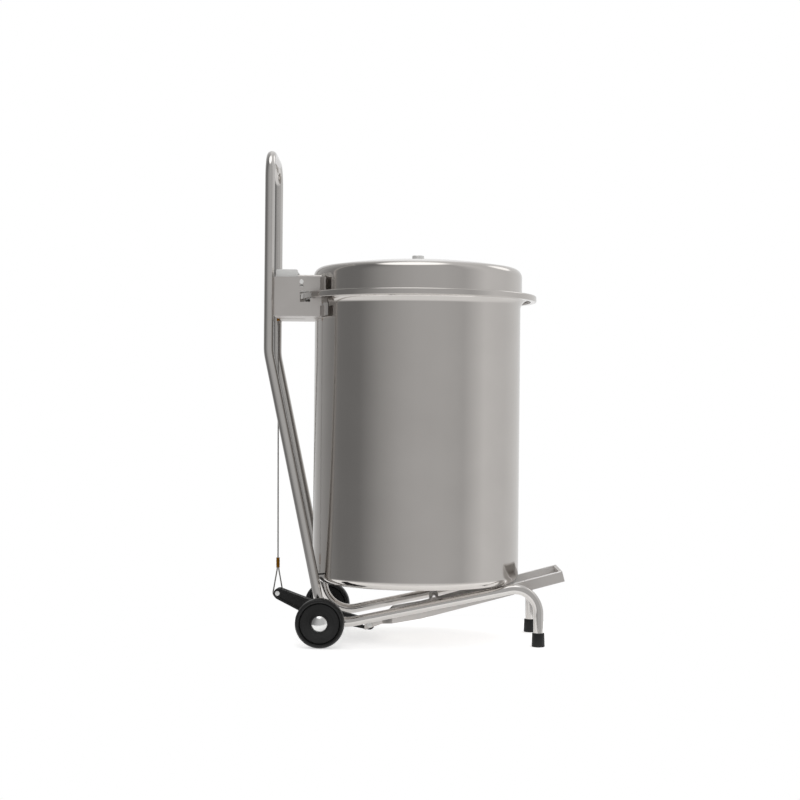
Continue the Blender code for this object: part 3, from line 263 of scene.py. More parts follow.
# a closed profile turned about local Z, then put in place
def turnedPiece(name, profile, place, segments, material):
    bm = bmesh.new()
    columns = []
    for radius, height in profile:
        if radius < 1e-6:
            columns.append([bm.verts.new((0, 0, height))] * segments)
        else:
            turns = [2 * math.pi * i / segments for i in range(segments)]
            columns.append([bm.verts.new((radius * math.cos(a), radius * math.sin(a), height))
                            for a in turns])
    for here, after in zip(columns, columns[1:] + columns[:1]):
        for i in range(segments):
            j = (i + 1) % segments
            corners = list(dict.fromkeys((here[i], here[j], after[j], after[i])))
            if len(corners) > 2:
                bm.faces.new(corners)
    bmesh.ops.recalc_face_normals(bm, faces=bm.faces)
    bmesh.ops.transform(bm, matrix=place, verts=bm.verts)
    mesh = bpy.data.meshes.new(name)
    bm.to_mesh(mesh)
    bm.free()
    return keepMesh(name, mesh, material)


# puts a turned piece's axis along a direction
def alongAxis(origin, direction):
    return Matrix.Translation(origin) @ Vector(direction).to_track_quat("Z", "Y").to_matrix().to_4x4()


# a piece rides on its body and stands for CAD nodes where it covers any
def standFor(piece, body, slot, *nodes):
    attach(piece, body)
    if nodes:
        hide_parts(*nodes)
    return piece


# a polyline that Geometry Nodes turn into a bar or a row of beads
def pathObject(name, points, attribute=None):
    mesh = bpy.data.meshes.new(name)
    mesh.from_pydata([tuple(p) for p in points], [(i, i + 1) for i in range(len(points) - 1)], [])
    if attribute:
        label, values = attribute
        mesh.attributes.new(label, "FLOAT", "POINT").data.foreach_set("value", values)
    path = bpy.data.objects.new(name, mesh)
    bpy.context.scene.collection.objects.link(path)
    return path


def startTree(name, inputs):
    tree = bpy.data.node_groups.new(name, "GeometryNodeTree")
    tree.interface.new_socket("Geometry", in_out="INPUT", socket_type="NodeSocketGeometry")
    for label, kind in inputs:
        tree.interface.new_socket(label, in_out="INPUT", socket_type="NodeSocket" + kind)
    tree.interface.new_socket("Geometry", in_out="OUTPUT", socket_type="NodeSocketGeometry")
    return tree, addNode(tree, "NodeGroupInput").outputs


def endTree(tree, geometry, given):
    smooth = addNode(tree, "GeometryNodeSetShadeSmooth", links={"Geometry": geometry})
    real = addNode(tree, "GeometryNodeRealizeInstances", links={"Geometry": smooth.outputs[0]})
    painted = addNode(tree, "GeometryNodeSetMaterial", links={"Geometry": real.outputs[0],
                                                             "Material": given["Material"]})
    addNode(tree, "NodeGroupOutput", links={0: painted.outputs[0]})
    return tree


# runs a tree on a path with its named inputs and keeps the result as a plain mesh
def grow(path, tree, values):
    modifier = path.modifiers.new("grow", "NODES")
    modifier.node_group = tree
    sockets = {item.name: item.identifier for item in tree.interface.items_tree if item.in_out == "INPUT"}
    for label, value in values.items():
        modifier[sockets[label]] = value
    graph = bpy.context.evaluated_depsgraph_get()
    mesh = bpy.data.meshes.new_from_object(path.evaluated_get(graph))
    path.modifiers.clear()
    path.data = mesh
    return path


# bent tube: rounds each corner by its own radius and sweeps a circle along it
tubeTree, given = startTree("bentTube", [("Tube radius", "Float"), ("Sides", "Int"), ("Bend points", "Int"),
                                         ("Material", "Material")])
line = addNode(tubeTree, "GeometryNodeMeshToCurve", links={"Mesh": given["Geometry"]})
bendRadius = addNode(tubeTree, "GeometryNodeInputNamedAttribute",
                     {"data_type": "FLOAT", "Name": "bendRadius"})
bent = addNode(tubeTree, "GeometryNodeFilletCurve", {"mode": "POLY"},
               {"Curve": line.outputs[0], "Count": given["Bend points"], "Radius": bendRadius.outputs[0]})
section = addNode(tubeTree, "GeometryNodeCurvePrimitiveCircle",
                  links={"Radius": given["Tube radius"], "Resolution": given["Sides"]})
swept = addNode(tubeTree, "GeometryNodeCurveToMesh", {"Fill Caps": True},
                {"Curve": bent.outputs[0], "Profile Curve": section.outputs[0]})
endTree(tubeTree, swept.outputs[0], given)

# wire rope: strands set round a core, twisted along the path
ropeTree, given = startTree("wireRope", [("Rope radius", "Float"), ("Strands", "Int"),
                                         ("Lay length", "Float"), ("Step", "Float"),
                                         ("Material", "Material")])
line = addNode(ropeTree, "GeometryNodeMeshToCurve", links={"Mesh": given["Geometry"]})
points = addNode(ropeTree, "GeometryNodeResampleCurve", {"mode": "LENGTH"},
                 {"Curve": line.outputs[0], "Length": given["Step"]})
along = addNode(ropeTree, "GeometryNodeSplineParameter").outputs["Length"]
turns = addNode(ropeTree, "ShaderNodeMath", {"operation": "DIVIDE"}, {0: along, 1: given["Lay length"]})
tilt = addNode(ropeTree, "ShaderNodeMath", {"operation": "MULTIPLY", 1: 2 * math.pi}, {0: turns.outputs[0]})
twisted = addNode(ropeTree, "GeometryNodeSetCurveTilt", links={"Curve": points.outputs[0],
                                                              "Tilt": tilt.outputs[0]})
wireShare, wireSides = 0.34, 6  # a wire's part of the rope's radius, and its flats
third = addNode(ropeTree, "ShaderNodeMath", {"operation": "MULTIPLY", 1: wireShare},
                {0: given["Rope radius"]})
lay = addNode(ropeTree, "ShaderNodeMath", {"operation": "SUBTRACT"}, {0: given["Rope radius"],
                                                                     1: third.outputs[0]})
core = addNode(ropeTree, "GeometryNodeCurvePrimitiveCircle", {"Resolution": wireSides},
               {"Radius": lay.outputs[0]})
wire = addNode(ropeTree, "GeometryNodeCurvePrimitiveCircle", {"Resolution": wireSides},
               {"Radius": third.outputs[0]})
seats = addNode(ropeTree, "GeometryNodeCurvePrimitiveCircle", links={"Radius": lay.outputs[0],
                                                                    "Resolution": given["Strands"]})
seatPoints = addNode(ropeTree, "GeometryNodeCurveToPoints", {"mode": "EVALUATED"},
                     {"Curve": seats.outputs[0]})
wires = addNode(ropeTree, "GeometryNodeInstanceOnPoints", links={"Points": seatPoints.outputs[0],
                                                                "Instance": wire.outputs[0]})
bundle = addNode(ropeTree, "GeometryNodeJoinGeometry")
for part in (core.outputs[0], addNode(ropeTree, "GeometryNodeRealizeInstances",
                                      links={"Geometry": wires.outputs[0]}).outputs[0]):
    ropeTree.links.new(part, bundle.inputs[0])
rope = addNode(ropeTree, "GeometryNodeCurveToMesh", {"Fill Caps": True},
               {"Curve": twisted.outputs[0], "Profile Curve": bundle.outputs[0]})
endTree(ropeTree, rope.outputs[0], given)

# weld: overlapping beads along a path
weldTree, given = startTree("weldBeads", [("Bead radius", "Float"), ("Step", "Float"),
                                          ("Material", "Material")])
line = addNode(weldTree, "GeometryNodeMeshToCurve", links={"Mesh": given["Geometry"]})
points = addNode(weldTree, "GeometryNodeResampleCurve", {"mode": "LENGTH"},
                 {"Curve": line.outputs[0], "Length": given["Step"]})
bead = addNode(weldTree, "GeometryNodeMeshIcoSphere", {"Subdivisions": 2}, {"Radius": given["Bead radius"]})
beadSmall, beadLarge = 0.85, 1.1
uneven = addNode(weldTree, "FunctionNodeRandomValue", {"data_type": "FLOAT", 2: beadSmall, 3: beadLarge,
                                                       "Seed": 7})
beads = addNode(weldTree, "GeometryNodeInstanceOnPoints", links={"Points": points.outputs[0],
                                                                "Instance": bead.outputs[0],
                                                                "Scale": uneven.outputs[1]})
endTree(weldTree, beads.outputs[0], given)
print("node trees ready")

# frame: one tube bent from foot to foot, so one piece stands for the side tubes and the bow
tubeFrame = {"radius": 0.010, "halfSpacing": 0.108, "sides": 40, "bendPoints": 20,
             "side": [((0.2522, 0.0063), 0), ((0.2522, 0.128672), 0.050), ((-0.186137, 0.0355), 0.060),
                      ((-0.3057, 0.598), 0.120), ((-0.3057, 1.0079), 0.050)]}
corners = [((x, -tubeFrame["halfSpacing"], z), r) for (x, z), r in tubeFrame["side"]]
corners += [((x, tubeFrame["halfSpacing"], z), r) for (x, z), r in reversed(tubeFrame["side"])]
tubePath = pathObject("bentTubeFrame", [p for p, r in corners], ("bendRadius", [r for p, r in corners]))
bentTube = grow(tubePath, tubeTree, {"Tube radius": tubeFrame["radius"], "Sides": tubeFrame["sides"],
                                     "Bend points": tubeFrame["bendPoints"], "Material": polishedTube})
standFor(bentTube, "frame", "stainless_steel", "frame_tube_left", "frame_tube_right", "handle_bow")
print("tube frame made")

axlePlace = jointPlace["lever_pivot"]
hingePlace = jointPlace["lid_hinge"]
rodPlace = jointPlace["pedal_pivot"]
rockerPin = jointPlace["cable_pivot"]
sideways = Vector((0, 1, 0))
sides = (("left", 1), ("right", -1))

# bucket: drawn in one piece, rounded to its floor and flared to a flat rim
bucket = {"radius": 0.217, "sheet": 0.0012, "edge": 0.018, "flare": 0.020, "rimRadius": 0.2442,
          "segments": 192, "steps": 10}
floorLow, rimTop = (corner.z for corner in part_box("bucket"))
innerWall, innerFloor, rimLow = (bucket["radius"] - bucket["sheet"], floorLow + bucket["sheet"],
                                 rimTop - bucket["sheet"])
bucketProfile = roundedProfile([
    (0, floorLow), (bucket["radius"], floorLow, bucket["edge"]),
    (bucket["radius"], rimLow, bucket["flare"]), (bucket["rimRadius"], rimLow),
    (bucket["rimRadius"], rimTop), (innerWall, rimTop, bucket["flare"] + bucket["sheet"]),
    (innerWall, innerFloor, bucket["edge"] - bucket["sheet"]), (0, innerFloor)], bucket["steps"])
bucketShell = turnedPiece("bucketShell", bucketProfile, Matrix(), bucket["segments"], polishedStainless)
markHiddenAndEdges(bucketShell.data)
standFor(bucketShell, "frame", "stainless_steel", "bucket")

# carrying ring: angle section whose ledge holds the bucket's rim
ring = {"outer": 0.2505, "wall": 0.006, "ledge": 0.006, "ledgeHeight": 0.0045, "topEdge": 0.0034,
        "edge": 0.0012, "ledgeEdge": 0.0006, "segments": 192, "steps": 5}
ringLow, ringTop = (corner.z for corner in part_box("carrying_ring"))
wallInside = ring["outer"] - ring["wall"]
ledgeTop = ringLow + ring["ledgeHeight"]
ringProfile = roundedProfile([
    (wallInside - ring["ledge"], ringLow, ring["ledgeEdge"]), (ring["outer"], ringLow, ring["edge"]),
    (ring["outer"], ringTop, ring["topEdge"]), (wallInside, ringTop, ring["edge"]), (wallInside, ledgeTop),
    (wallInside - ring["ledge"], ledgeTop, ring["ledgeEdge"])], ring["steps"])
carryingRing = turnedPiece("carryingRing", ringProfile, Matrix(), ring["segments"], polishedStainless)
standFor(carryingRing, "frame", "stainless_steel", "carrying_ring")

# lid: straight skirt, round shoulder, shallow dome
lid = {"radius": 0.220, "sheet": 0.0012, "shoulder": 0.019, "rise": 0.036, "shoulderSteps": 12,
       "domeSteps": 16, "segments": 192}
lidFoot, lidTop = (corner.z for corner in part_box("lid"))
skirtTop = lidTop - lid["rise"]
shoulderX = lid["radius"] - lid["shoulder"]
domeRadius = ((shoulderX ** 2 - lid["shoulder"] ** 2 + lid["rise"] ** 2)
              / (2 * (lid["rise"] - lid["shoulder"])))
domeCentre = lidTop - domeRadius
domeStart = math.atan2(skirtTop - domeCentre, shoulderX)


def lidCurve(inset):
    points = [(lid["radius"] - inset, lidFoot)]
    for k in range(lid["shoulderSteps"] + 1):
        turn = domeStart * k / lid["shoulderSteps"]
        reach = lid["shoulder"] - inset
        points.append((shoulderX + reach * math.cos(turn), skirtTop + reach * math.sin(turn)))
    for k in range(1, lid["domeSteps"]):
        turn = domeStart + (math.pi / 2 - domeStart) * k / lid["domeSteps"]
        reach = domeRadius - inset
        points.append((reach * math.cos(turn), domeCentre + reach * math.sin(turn)))
    return points + [(0, lidTop - inset)]


lidShell = turnedPiece("lidShell", lidCurve(0) + lidCurve(lid["sheet"])[::-1], Matrix(), lid["segments"],
                       polishedStainless)
# the lid is too open for markHiddenAndEdges, so its inside is the faces that look at the middle of its mouth
lidMiddle = Vector((0, 0, lidFoot))
lidShell.data.attributes.new("mattInsideAndPaintedLight", "FLOAT", "FACE").data.foreach_set(
    "value", [float(face.normal.dot(face.center - lidMiddle) < 0) for face in lidShell.data.polygons])
standFor(lidShell, "lid", "stainless_steel", "lid")
buttonLow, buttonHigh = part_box("lid_button")
button = {"radius": 0.0125, "edge": 0.0012, "footEdge": 0.0004, "segments": 64}
buttonProfile = roundedProfile([(0, buttonLow.z), (button["radius"], buttonLow.z, button["footEdge"]),
                                (button["radius"], buttonHigh.z, button["edge"]), (0, buttonHigh.z)])
lidButton = turnedPiece("lidStopButton", buttonProfile, Matrix(), button["segments"], zincPlated)
standFor(lidButton, "lid", "bright_steel", "lid_button")
print("bucket, ring and lid made")

# wheels: tyre pressed on a moulded disc, chromed dome on the axle's end;
# tyreSide and discSide are (radius, half width, rounding) on one side, and grip is the tyre's tight fit
wheel = {"half": 0.015, "track": 0.155, "segments": 96, "bore": 0.0078, "hub": 0.018, "seat": 0.0425,
         "grip": 0.0002, "radius": 0.050}
tyreSide = [(wheel["seat"] - wheel["grip"], 0.0135), (wheel["seat"] + 0.0022, 0.0150, 0.0010),
            (wheel["seat"] + 0.0045, 0.0147, 0.0010), (0.0490, 0.0115, 0.0020),
            (wheel["radius"], 0.0080, 0.0030)]
tyreProfile = roundedProfile(tyreSide + [(c[0], -c[1], *c[2:]) for c in reversed(tyreSide)])
discSide = [(wheel["bore"], 0.015), (wheel["hub"], 0.015, 0.0010), (0.0205, 0.0125, 0.0030),
            (0.0300, 0.0105, 0.0120), (0.0395, 0.0105, 0.0010), (0.0408, 0.0080, 0.0005),
            (0.0417, 0.0080, 0.0004), (wheel["seat"], 0.0135)]
discProfile = roundedProfile(discSide + [(c[0], -c[1], *c[2:]) for c in reversed(discSide)])
cap = {"radius": 0.01575, "height": 0.007, "gap": 0.0003, "steps": 10, "segments": 64}
capBulge = (cap["radius"] ** 2 + cap["height"] ** 2) / (2 * cap["height"])
capSpan = math.asin(cap["radius"] / capBulge)
capTurns = [capSpan * k / cap["steps"] for k in range(cap["steps"], -1, -1)]
capProfile = [(0, 0)] + [(capBulge * math.sin(a), capBulge * (math.cos(a) - math.cos(capSpan)))
                         for a in capTurns]
for label, sign in sides:
    centre = axlePlace + sideways * sign * wheel["track"]
    place = alongAxis(centre, sideways)
    tyre = turnedPiece("rubberTyre_" + label, tyreProfile, place, wheel["segments"], blackRubber)
    standFor(tyre, "wheel_" + label, "black_rubber", "tyre_" + label)
    disc = turnedPiece("wheelDisc_" + label, discProfile, place, wheel["segments"], mouldedNylon)
    standFor(disc, "wheel_" + label, "black_plastic", "wheel_rim_" + label)
    capPlace = alongAxis(centre + sideways * sign * (wheel["half"] + cap["gap"]), sideways * sign)
    hubCap = turnedPiece("hubCap_" + label, capProfile, capPlace, cap["segments"], chromePlated)
    standFor(hubCap, "frame", "bright_steel", "hub_cap_" + label)

# rubber feet: caps pushed over the tube ends
footCap = {"x": 0.2522, "y": 0.108, "foot": 0.0135, "top": 0.0125, "height": 0.028, "bore": 0.0103,
           "sole": 0.006, "soleEdge": 0.0012, "topEdge": 0.0010, "boreEdge": 0.0004, "segments": 64}
footProfile = roundedProfile([
    (0, 0), (footCap["foot"], 0, footCap["soleEdge"]),
    (footCap["top"], footCap["height"], footCap["topEdge"]),
    (footCap["bore"], footCap["height"], footCap["boreEdge"]),
    (footCap["bore"], footCap["sole"]), (0, footCap["sole"])])
for label, sign in sides:
    foot = turnedPiece("footCap_" + label, footProfile,
                       Matrix.Translation((footCap["x"], sign * footCap["y"], 0)), footCap["segments"],
                       blackRubber)
    standFor(foot, "frame", "black_rubber", "foot_cap_" + label)

# buffers between the bucket and the leaning legs
buffer = {"radius": 0.0017, "edge": 0.0005, "drop": 0.0015, "segments": 40}
for label, sign in sides:
    low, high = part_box("bucket_buffer_" + label)
    middle = (low + high) / 2
    outward = Vector((middle.x, middle.y, 0)).normalized()
    nodeMesh = frame["nodes"]["bucket_buffer_" + label].data
    reaches = [Vector((v.co.x, v.co.y, 0)).dot(outward) for v in nodeMesh.vertices]
    bufferProfile = roundedProfile([(0, min(reaches)), (buffer["radius"], min(reaches), buffer["edge"]),
                                    (buffer["radius"], max(reaches), buffer["edge"]), (0, max(reaches))])
    block = turnedPiece("bucketBuffer_" + label, bufferProfile,
                        alongAxis((0, 0, middle.z - buffer["drop"]), outward), buffer["segments"],
                        blackRubber)
    standFor(block, "frame", "black_rubber", "bucket_buffer_" + label)
print("wheels, feet and buffers made")


# a pin with a low dome on each head
def pinProfile(halfLength, radius, headRadius, headHeight):
    end = halfLength + headHeight
    dome = 0.6 * headHeight
    return roundedProfile([
        (0, -end), (headRadius, -end, dome), (headRadius, -halfLength), (radius, -halfLength),
        (radius, halfLength), (headRadius, halfLength), (headRadius, end, dome), (0, end)])


def sleeveProfile(low, high, inner, outer, edge):
    return roundedProfile([(inner, low, edge), (outer, low, edge), (outer, high, edge),
                           (inner, high, edge)], 3)


def rodProfile(halfLength, radius, edge):
    return roundedProfile([(0, -halfLength), (radius, -halfLength, edge), (radius, halfLength, edge),
                           (0, halfLength)], 3)


# round parts along the axle, the hinge and the pins; the profiles' sizes are in metres
roundSegments = 40
anchorPlace = (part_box("cable_anchor_pin")[0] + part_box("cable_anchor_pin")[1]) / 2
linkPlace = (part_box("link_pin")[0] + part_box("link_pin")[1]) / 2
roundParts = [
    {"name": "axleBar", "profile": rodProfile(0.1697, 0.0075, 0.0006), "at": axlePlace, "body": "frame",
     "slot": "stainless_steel", "node": "axle", "finish": polishedTube},
    {"name": "wheelWasher_left", "profile": sleeveProfile(0.1377, 0.1397, 0.0078, 0.0130, 0.0004),
     "at": axlePlace, "body": "frame", "slot": "stainless_steel", "node": "wheel_washer_left",
     "finish": zincPlated},
    {"name": "wheelWasher_right", "profile": sleeveProfile(-0.1397, -0.1377, 0.0078, 0.0130, 0.0004),
     "at": axlePlace, "body": "frame", "slot": "stainless_steel", "node": "wheel_washer_right",
     "finish": zincPlated},
    {"name": "leverCollar_left", "profile": sleeveProfile(0.0153, 0.0233, 0.0078, 0.0125, 0.0006),
     "at": axlePlace, "body": "frame", "slot": "stainless_steel", "node": "lever_collar_left",
     "finish": satinSheet},
    {"name": "leverCollar_right", "profile": sleeveProfile(-0.0233, -0.0153, 0.0078, 0.0125, 0.0006),
     "at": axlePlace, "body": "frame", "slot": "stainless_steel", "node": "lever_collar_right",
     "finish": satinSheet},
    {"name": "pedalRod", "profile": rodProfile(0.0977, 0.0050, 0.0004), "at": rodPlace, "body": "frame",
     "slot": "stainless_steel", "node": "pedal_rod", "finish": polishedTube},
    {"name": "hingePin", "profile": pinProfile(0.10955, 0.0030, 0.0045, 0.0016), "at": hingePlace,
     "body": "frame", "slot": "bright_steel", "node": "hinge_pin", "finish": zincPlated},
    {"name": "cableAnchorPin", "profile": rodProfile(0.0096, 0.0030, 0.0005), "at": anchorPlace,
     "body": "lid", "slot": "bright_steel", "node": "cable_anchor_pin", "finish": zincPlated},
    {"name": "leverPin", "profile": pinProfile(0.0153, 0.0030, 0.0050, 0.0016), "at": rockerPin,
     "body": "foot_lever", "slot": "bright_steel", "node": "lever_pin", "finish": zincPlated},
    {"name": "cableBush", "profile": sleeveProfile(-0.0047, 0.0047, 0.0033, 0.0085, 0.0006), "at": rockerPin,
     "body": "foot_lever", "slot": "black_plastic", "node": "cable_bush", "finish": mouldedNylon},
    {"name": "linkPin", "profile": pinProfile(0.0128, 0.0035, 0.0055, 0.0016), "at": linkPlace,
     "body": "pedal", "slot": "bright_steel", "node": "link_pin", "finish": zincPlated},
]
for part in roundParts:
    turned = turnedPiece(part["name"], part["profile"], alongAxis(part["at"], sideways), roundSegments,
                         part["finish"])
    standFor(turned, part["body"], part["slot"], part["node"])
print("pins, washers and rods made")

# cable: twisted wire rope with a crimped loop at each end
cable = {"radius": 0.0015, "strands": 6, "layLength": 0.016, "step": 0.0012, "ferruleRadius": 0.0038,
         "ferruleLength": 0.021, "lowerFerrule": 0.1458, "upperFerrule": 0.668, "bush": 0.0085,
         "upperLoop": 0.0085, "gap": 0.0003, "loopPoints": 40}
sleeveLook = {"steps": 6, "pinch": 0.0003, "endEdge": 0.0004, "waistEdge": 0.0012, "segments": 40}
up = (anchorPlace - rockerPin).normalized()
across = Vector((up.z, 0, -up.x))
strandGap = cable["radius"] + cable["gap"] / 2
ropeLook = {"Rope radius": cable["radius"], "Strands": cable["strands"], "Lay length": cable["layLength"],
            "Step": cable["step"], "Material": galvanisedWire}


def onCable(z):
    return rockerPin + up * ((z - rockerPin.z) / up.z)


lowerBase, upperBase = onCable(cable["lowerFerrule"]), onCable(cable["upperFerrule"])
crimp = up * cable["ferruleLength"]
straight = pathObject("wireRope", [lowerBase + crimp + up * cable["gap"], upperBase - up * cable["gap"]])
standFor(grow(straight, ropeTree, ropeLook), "cable", "stainless_steel", "cable")
lowerBow = cable["bush"] + cable["gap"] + cable["radius"]
upperBow = cable["upperLoop"] + cable["radius"]
for label, centre, start, out, loopRadius in (
        ("lower", rockerPin, lowerBase - up * cable["gap"], -up, lowerBow),
        ("upper", anchorPlace, upperBase + crimp + up * cable["gap"], up, upperBow)):
    lead = start + out * 2 * cable["radius"]
    slant = math.asin((loopRadius - strandGap) / ((centre - start).length - 2 * cable["radius"]))
    half = math.pi / 2 + slant
    bow = []
    for k in range(cable["loopPoints"] + 1):
        turn = half * (2 * k / cable["loopPoints"] - 1)
        bow.append(centre + loopRadius * (math.cos(turn) * out + math.sin(turn) * across))
    apart = across * strandGap
    loopPath = pathObject("wireLoop_" + label,
                          [start - apart, lead - apart] + bow + [lead + apart, start + apart])
    standFor(grow(loopPath, ropeTree, ropeLook), "cable", "stainless_steel", "cable_loop_" + label)
# sleeves crimped in three places
outline = [(0, 0)]
for k in range(sleeveLook["steps"] + 1):
    waist = cable["ferruleRadius"] - (sleeveLook["pinch"] if k % 2 else 0)
    rounding = sleeveLook["endEdge"] if k in (0, sleeveLook["steps"]) else sleeveLook["waistEdge"]
    outline.append((waist, cable["ferruleLength"] * k / sleeveLook["steps"], rounding))
sleeveOutline = roundedProfile(outline + [(0, cable["ferruleLength"])])
for label, base in (("lower", lowerBase), ("upper", upperBase)):
    sleeve = turnedPiece("crimpSleeve_" + label, sleeveOutline, alongAxis(base, up), sleeveLook["segments"],
                         pressedCopper)
    standFor(sleeve, "cable", "copper_crimp", "ferrule_" + label)
print("cable made")


# folded and moulded parts keep their solid's shape, with the edges broken; angles in degrees
softening = {"join": 1e-5, "flatUnder": 1, "edgeOver": 40, "segments": 2}


def softenedPiece(name, node, edge, material):
    bm = bmesh.new()
    bm.from_mesh(frame["nodes"][node].data)
    bmesh.ops.remove_doubles(bm, verts=bm.verts, dist=softening["join"])
    bmesh.ops.dissolve_limit(bm, angle_limit=math.radians(softening["flatUnder"]), verts=bm.verts,
                             edges=bm.edges)
    mesh = bpy.data.meshes.new(name)
    bm.to_mesh(mesh)
    bm.free()
    piece = keepMesh(name, mesh, material)
    bevel = piece.modifiers.new("edges", "BEVEL")
    bevel.width = edge
    bevel.segments = softening["segments"]
    bevel.limit_method = "ANGLE"
    bevel.angle_limit = math.radians(softening["edgeOver"])
    bevel.harden_normals = True
    graph = bpy.context.evaluated_depsgraph_get()
    softened = bpy.data.meshes.new_from_object(piece.evaluated_get(graph))
    piece.modifiers.clear()
    piece.data = softened
    return piece


# the share in each entry is how strongly a sheet part's hidden faces take the pale, matt look, which is
# painted light in its hollows
foldedParts = [
    {"name": "hingeHousing", "node": "hinge_housing", "edge": 0.0004, "mattInsideAndPaintedLight": 0.0, "finish": satinSheet,
     "body": "frame", "slot": "stainless_steel"},
    {"name": "lidLever", "node": "lid_lever", "edge": 0.0005, "finish": zincPlated, "body": "lid",
     "slot": "bright_steel"},
    {"name": "pedalTray", "node": "pedal", "edge": 0.0010, "mattInsideAndPaintedLight": 1.0, "finish": satinSheet, "body": "pedal",
     "slot": "stainless_steel"},
    {"name": "rockerLever", "node": "foot_lever", "edge": 0.0007, "finish": mouldedNylon,
     "body": "foot_lever", "slot": "black_plastic"},
]
for part in foldedParts:
    folded = softenedPiece(part["name"], part["node"], part["edge"], part["finish"])
    if "mattInsideAndPaintedLight" in part:
        markHiddenAndEdges(folded.data, part["edge"], part["mattInsideAndPaintedLight"])
    standFor(folded, part["body"], part["slot"], part["node"])

# rounded rims along the pedal's side walls, from the tip back to under the bucket, in the near-white finish
# that paints a highlight line on each
pedalRim = {"radius": 0.0015, "halfWidth": 0.065, "sheet": 0.0025, "wall": 0.0214, "slope": 15.1,
            "length": 0.104, "drop": 0.0005, "sides": 16}
rimSlope = math.radians(pedalRim["slope"])
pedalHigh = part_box("pedal")[1]
rimEnd = Vector((pedalHigh.x - pedalRim["wall"] * math.tan(rimSlope), 0, pedalHigh.z - pedalRim["drop"]))
alongRim = Vector((math.cos(rimSlope), 0, math.sin(rimSlope)))
rimLook = {"Tube radius": pedalRim["radius"], "Sides": pedalRim["sides"], "Bend points": 1,
           "Material": rimPaintedHighlight}
for label, sign in sides:
    seat = rimEnd + sideways * sign * (pedalRim["halfWidth"] - pedalRim["sheet"] / 2)
    rimPath = pathObject("pedalRim_" + label, [seat - alongRim * pedalRim["length"],
                                               seat - alongRim * pedalRim["radius"]], ("bendRadius", [0, 0]))
    standFor(grow(rimPath, tubeTree, rimLook), "pedal", "stainless_steel")
print("folded parts made")

# welds: housing to handle tubes, rod to base tubes
weld = {"bead": 0.0013, "step": 0.0016, "plateX": -0.2950, "plateY": 0.1095,
        "heights": ((0.677, 0.695), (0.733, 0.7505)), "rodRing": 0.0056, "rodY": 0.0972, "ringPoints": 18}
weldLook = {"Bead radius": weld["bead"], "Step": weld["step"], "Material": satinSheet}
for label, sign in sides:
    for level, heights in zip(("low", "high"), weld["heights"]):
        seam = pathObject("plateWeld_" + level + "_" + label,
                          [(weld["plateX"], sign * weld["plateY"], height) for height in heights])
        standFor(grow(seam, weldTree, weldLook), "frame", "stainless_steel")
    loop = []
    for k in range(weld["ringPoints"] + 1):
        turn = 2 * math.pi * k / weld["ringPoints"]
        loop.append(rodPlace + Vector((weld["rodRing"] * math.cos(turn), sign * weld["rodY"],
                                       weld["rodRing"] * math.sin(turn))))
    standFor(grow(pathObject("rodWeld_" + label, loop), weldTree, weldLook), "frame", "stainless_steel")
print("welds made")

# floor: a pale disc that keeps the shadow; the room beyond it is white to the camera
floor = {"radius": 0.50, "depth": 0.68, "drop": 0.0004, "thickness": 0.01, "segments": 128,
         "color": "#f4f4f4", "roughness": 0.9, "glow": 0.5}
floorMaterial, floorTree, floorShader = startMaterial("paleFloor")
floorShader.inputs["Base Color"].default_value = linearColor(floor["color"])
floorShader.inputs["Roughness"].default_value = floor["roughness"]
floorShader.inputs["Specular IOR Level"].default_value = 0.0
floorShader.inputs["Emission Color"].default_value = linearColor("#ffffff")
path = addNode(floorTree, "ShaderNodeLightPath").outputs
seen = addNode(floorTree, "ShaderNodeMath", {"operation": "MAXIMUM"}, {0: path["Is Camera Ray"],
                                                                      1: path["Is Glossy Ray"]})
seenThrough = addNode(floorTree, "ShaderNodeMath", {"operation": "MAXIMUM"}, {0: seen.outputs[0],
                                                                             1: path["Is Transmission Ray"]})
glow = addNode(floorTree, "ShaderNodeMath", {"operation": "MULTIPLY", 1: floor["glow"]},
               {0: seenThrough.outputs[0]})
floorTree.links.new(glow.outputs[0], floorShader.inputs["Emission Strength"])
floorLevel = -floor["drop"]
floorUnder = floorLevel - floor["thickness"]
floorProfile = [(0, floorUnder), (floor["radius"], floorUnder), (floor["radius"], floorLevel),
                (0, floorLevel)]
floorPlace = Matrix.Diagonal((1, floor["depth"], 1, 1))
turnedPiece("studioFloor", floorProfile, floorPlace, floor["segments"], floorMaterial)

# room: white backdrop for the camera; metal sees the backdrop's tones round the horizon,
# dark on the left, mid grey in front, pale on the right and white below, and two bright panels,
# one overhead and one high behind on the right; horizon is (bearing in degrees, tone), 0 is in front
room = {"light": 0.80, "below": 0.96, "lowFrom": -0.22, "lowFull": -0.55,
        "panels": [{"toward": (-0.06, -0.13, 0.99), "rim": 0.90, "full": 0.955, "tone": 1.8},
                   {"toward": (0.627, 0.527, 0.574), "rim": 0.972, "full": 0.988, "tone": 1.6}],
        "horizon": [(-180, 0.94), (-162, 0.66), (-150, 0.52), (-137, 0.42), (-113, 0.29), (-95, 0.21),
                    (-82, 0.20), (-66, 0.21), (-52, 0.30), (-40, 0.385), (-28, 0.45), (-17, 0.505),
                    (0, 0.548), (28, 0.562), (40, 0.545), (52, 0.515), (65, 0.64), (79, 0.77), (113, 0.71),
                    (137, 0.76), (162, 0.80), (180, 0.94)]}
world = bpy.data.worlds.new("studioRoom")
world.use_nodes = True
bpy.context.scene.world = world
tree = world.node_tree
backdrop = tree.nodes["Background"]
direction = addNode(tree, "ShaderNodeTexCoord").outputs["Generated"]
parts = addNode(tree, "ShaderNodeSeparateXYZ", links={0: direction}).outputs
front = addNode(tree, "ShaderNodeMath", {"operation": "MULTIPLY", 1: -1.0}, {0: parts["Y"]})
bearing = addNode(tree, "ShaderNodeMath", {"operation": "ARCTAN2"}, {0: parts["X"], 1: front.outputs[0]})
